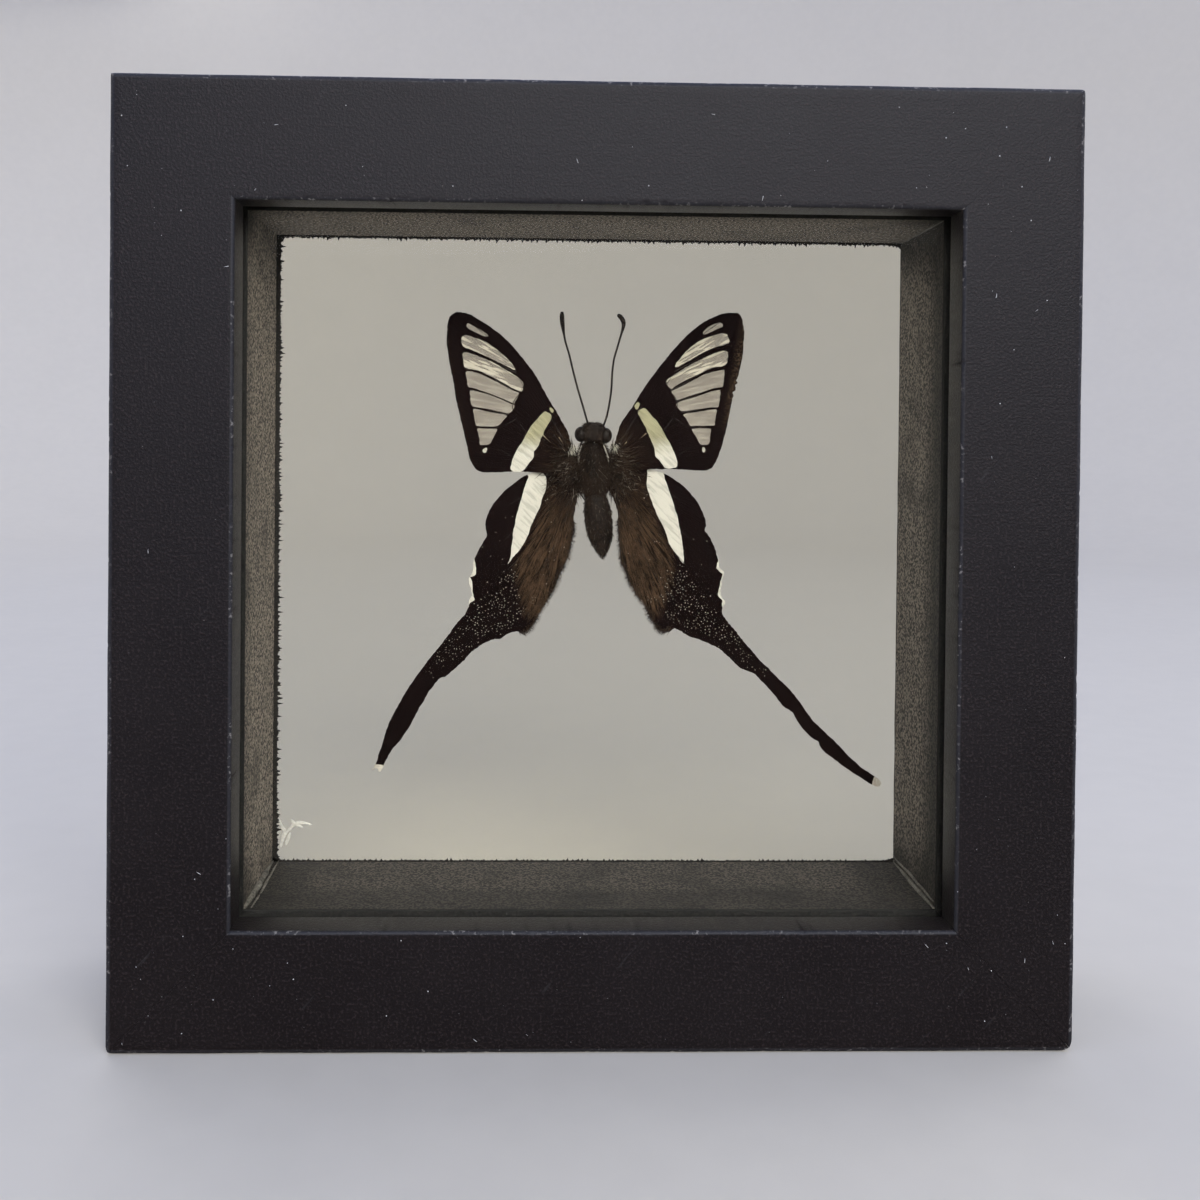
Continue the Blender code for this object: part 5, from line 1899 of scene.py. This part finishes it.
class SPECIMEN_OT_legs(bpy.types.Operator):
    """Build the folded legs and the coiled tongue behind the body."""

    bl_idname = "specimen.legs"
    bl_label = "Legs"

    # For each pair of legs: the height it leaves the body at, its reach sideways, and its drop.
    LEGS = ((15.2, 1.9, 2.4), (13.2, 2.4, -2.6), (11.6, 2.2, -4.2))

    def execute(self, context):
        horn = plain_finish("leg_horn", (0.010, 0.007, 0.006), (0.045, 0.030, 0.022), 0.25, 0.45)
        runs = [self.leg(mirrored, *pair) for mirrored in (-1, 1) for pair in self.LEGS]
        mesh = tubes([*runs, self.tongue()], horn, 8, 0.12, pitch=0.6, ring_depth=0.08)
        add_piece("folded_legs", mesh)
        return {"FINISHED"}

    def leg(self, mirrored, height, reach, drop):
        """One folded leg, thinner towards its foot, with its corners rounded off."""
        back = node_box("thorax")[1].y
        line = [(0.5, back - 0.5, height), (1.1, back + 0.15, height - 0.3),
                (reach, back + 0.45, height + drop * 0.35),
                (reach * 0.75, back + 0.75, height + drop * 0.7),
                (reach * 0.35, back + 0.95, height + drop),
                (reach * 0.2, back + 1.0, height + drop * 1.25)]
        line = [Vector((0.45 + mirrored * x, depth, z)) for x, depth, z in line]
        for _ in range(3):
            cut = [line[0]]
            for start, end in zip(line, line[1:]):
                cut += [start.lerp(end, 0.25), start.lerp(end, 0.75)]
            line = cut + [line[-1]]
        last = len(line) - 1
        return [(*point, 0.17 - 0.11 * order / last) for order, point in enumerate(line)]

    def tongue(self):
        """The tongue, coiled behind the head."""
        coil, last = [], 89
        for step in range(last + 1):
            turn = step / last * 2.4 * 2 * pi
            reach = 0.75 * (1 - 0.72 * step / last)
            coil.append((0.45, node_box("head")[1].y - 0.2 + reach * sin(turn),
                         17.6 + reach * cos(turn), 0.075))
        return coil


class SPECIMEN_OT_lint(bpy.types.Operator):
    """Drop a few bits of lint and dust on the rails, and specks on the rear pane."""

    bl_idname = "specimen.lint"
    bl_label = "Lint"

    def execute(self, context):
        settings = context.scene.specimen.hair
        density = settings.lint * 0.01
        fibre = hidden_shape("fibre", strand_mesh(0.16, 0.35))
        crumb = hidden_shape("crumb", flake_mesh(0.35, 9))
        white = plain_finish("white_lint", (0.45, 0.45, 0.46), (0.85, 0.85, 0.86), 0.2, 0.8)
        grey = plain_finish("grey_dust", (0.12, 0.12, 0.12), (0.34, 0.33, 0.32), 0.2, 0.9)
        growths = (
            ("lint", fibre, white, 0.50, (0.28, 0.75), 3), ("crumbs", crumb, white, 1.5, (0.09, 0.26), 5),
            ("dust", crumb, grey, 2.6, (0.06, 0.14), 9),
        )
        for side, turn in SIDES.items():
            for name, shape, material, share, sizes, seed in growths:
                bed = bed_of(f"painted_rail_{side}", self.on_front, lambda place: (1.0, 0.0, 0.3))
                scatter(f"{name}_on_rail_{side}", bed, shape, material, density * share, sizes,
                        3.1, 0.06, settings.seed + seed + turn)
        reach, depth = HALF_OPENING - 1.5, REAR_GLASS_FRONT - 0.01
        corners = [(-reach, -reach), (reach, -reach), (reach, reach), (-reach, reach)]
        bed = mesh_from("bed", [drawn(x, depth, height) for x, height in corners], [(0, 1, 2, 3)])
        paint(bed, "cover", [1.0] * 4)
        paint_flow(bed, [(1.0, 0.0, 0.0)] * 4)
        scatter("specks_on_rear_glass", bed, crumb, white, density * 0.8, (0.06, 0.16),
                3.1, 0.02, settings.seed + 90)
        return {"FINISHED"}

    def on_front(self, place):
        """Only the front face catches it, and more of it near the opening."""
        x, depth, z = place
        front = depth < 0.05 and max(abs(x), abs(z)) < HALF_SIDE - 0.9
        near = step_up(min(abs(x), abs(z)), HALF_OPENING - 14, HALF_OPENING + 4)
        return front * (0.35 + 0.65 * near)


CLASSES = (
    FrameSettings, GlassSettings, WingSettings, HairSettings, StageSettings, SpecimenSettings,
    SPECIMEN_OT_stage, SPECIMEN_OT_rails, SPECIMEN_OT_spacers, SPECIMEN_OT_stops, SPECIMEN_OT_panes,
    SPECIMEN_OT_sealing_edge, SPECIMEN_OT_forewings, SPECIMEN_OT_hindwings, SPECIMEN_OT_veins,
    SPECIMEN_OT_body, SPECIMEN_OT_eyes, SPECIMEN_OT_antennae, SPECIMEN_OT_legs, SPECIMEN_OT_hair,
    SPECIMEN_OT_flecks, SPECIMEN_OT_glue, SPECIMEN_OT_lint,
)
ORDER = tuple(made.bl_idname for made in CLASSES if issubclass(made, bpy.types.Operator))


class SPECIMEN_PT_panel(bpy.types.Panel):
    """The specimen's pieces, in the sidebar."""

    bl_idname = "SPECIMEN_PT_panel"
    bl_label = "Framed Specimen"
    bl_space_type = "VIEW_3D"
    bl_region_type = "UI"
    bl_category = "Specimen"

    def draw(self, context):
        for name in ORDER:
            self.layout.operator(name)


def register():
    """Register the settings, the operators and the panel."""
    for made in (*CLASSES, SPECIMEN_PT_panel):
        bpy.utils.register_class(made)
    bpy.types.Scene.specimen = PointerProperty(type=SpecimenSettings)


def unregister():
    """Undo register."""
    del bpy.types.Scene.specimen
    for made in reversed((*CLASSES, SPECIMEN_PT_panel)):
        bpy.utils.unregister_class(made)


def main():
    """Build every piece in order."""
    register()
    for name in ORDER:
        getattr(bpy.ops.specimen, name.split(".")[1])()
    bpy.context.view_layer.update()


if __name__ == "__main__":
    main()
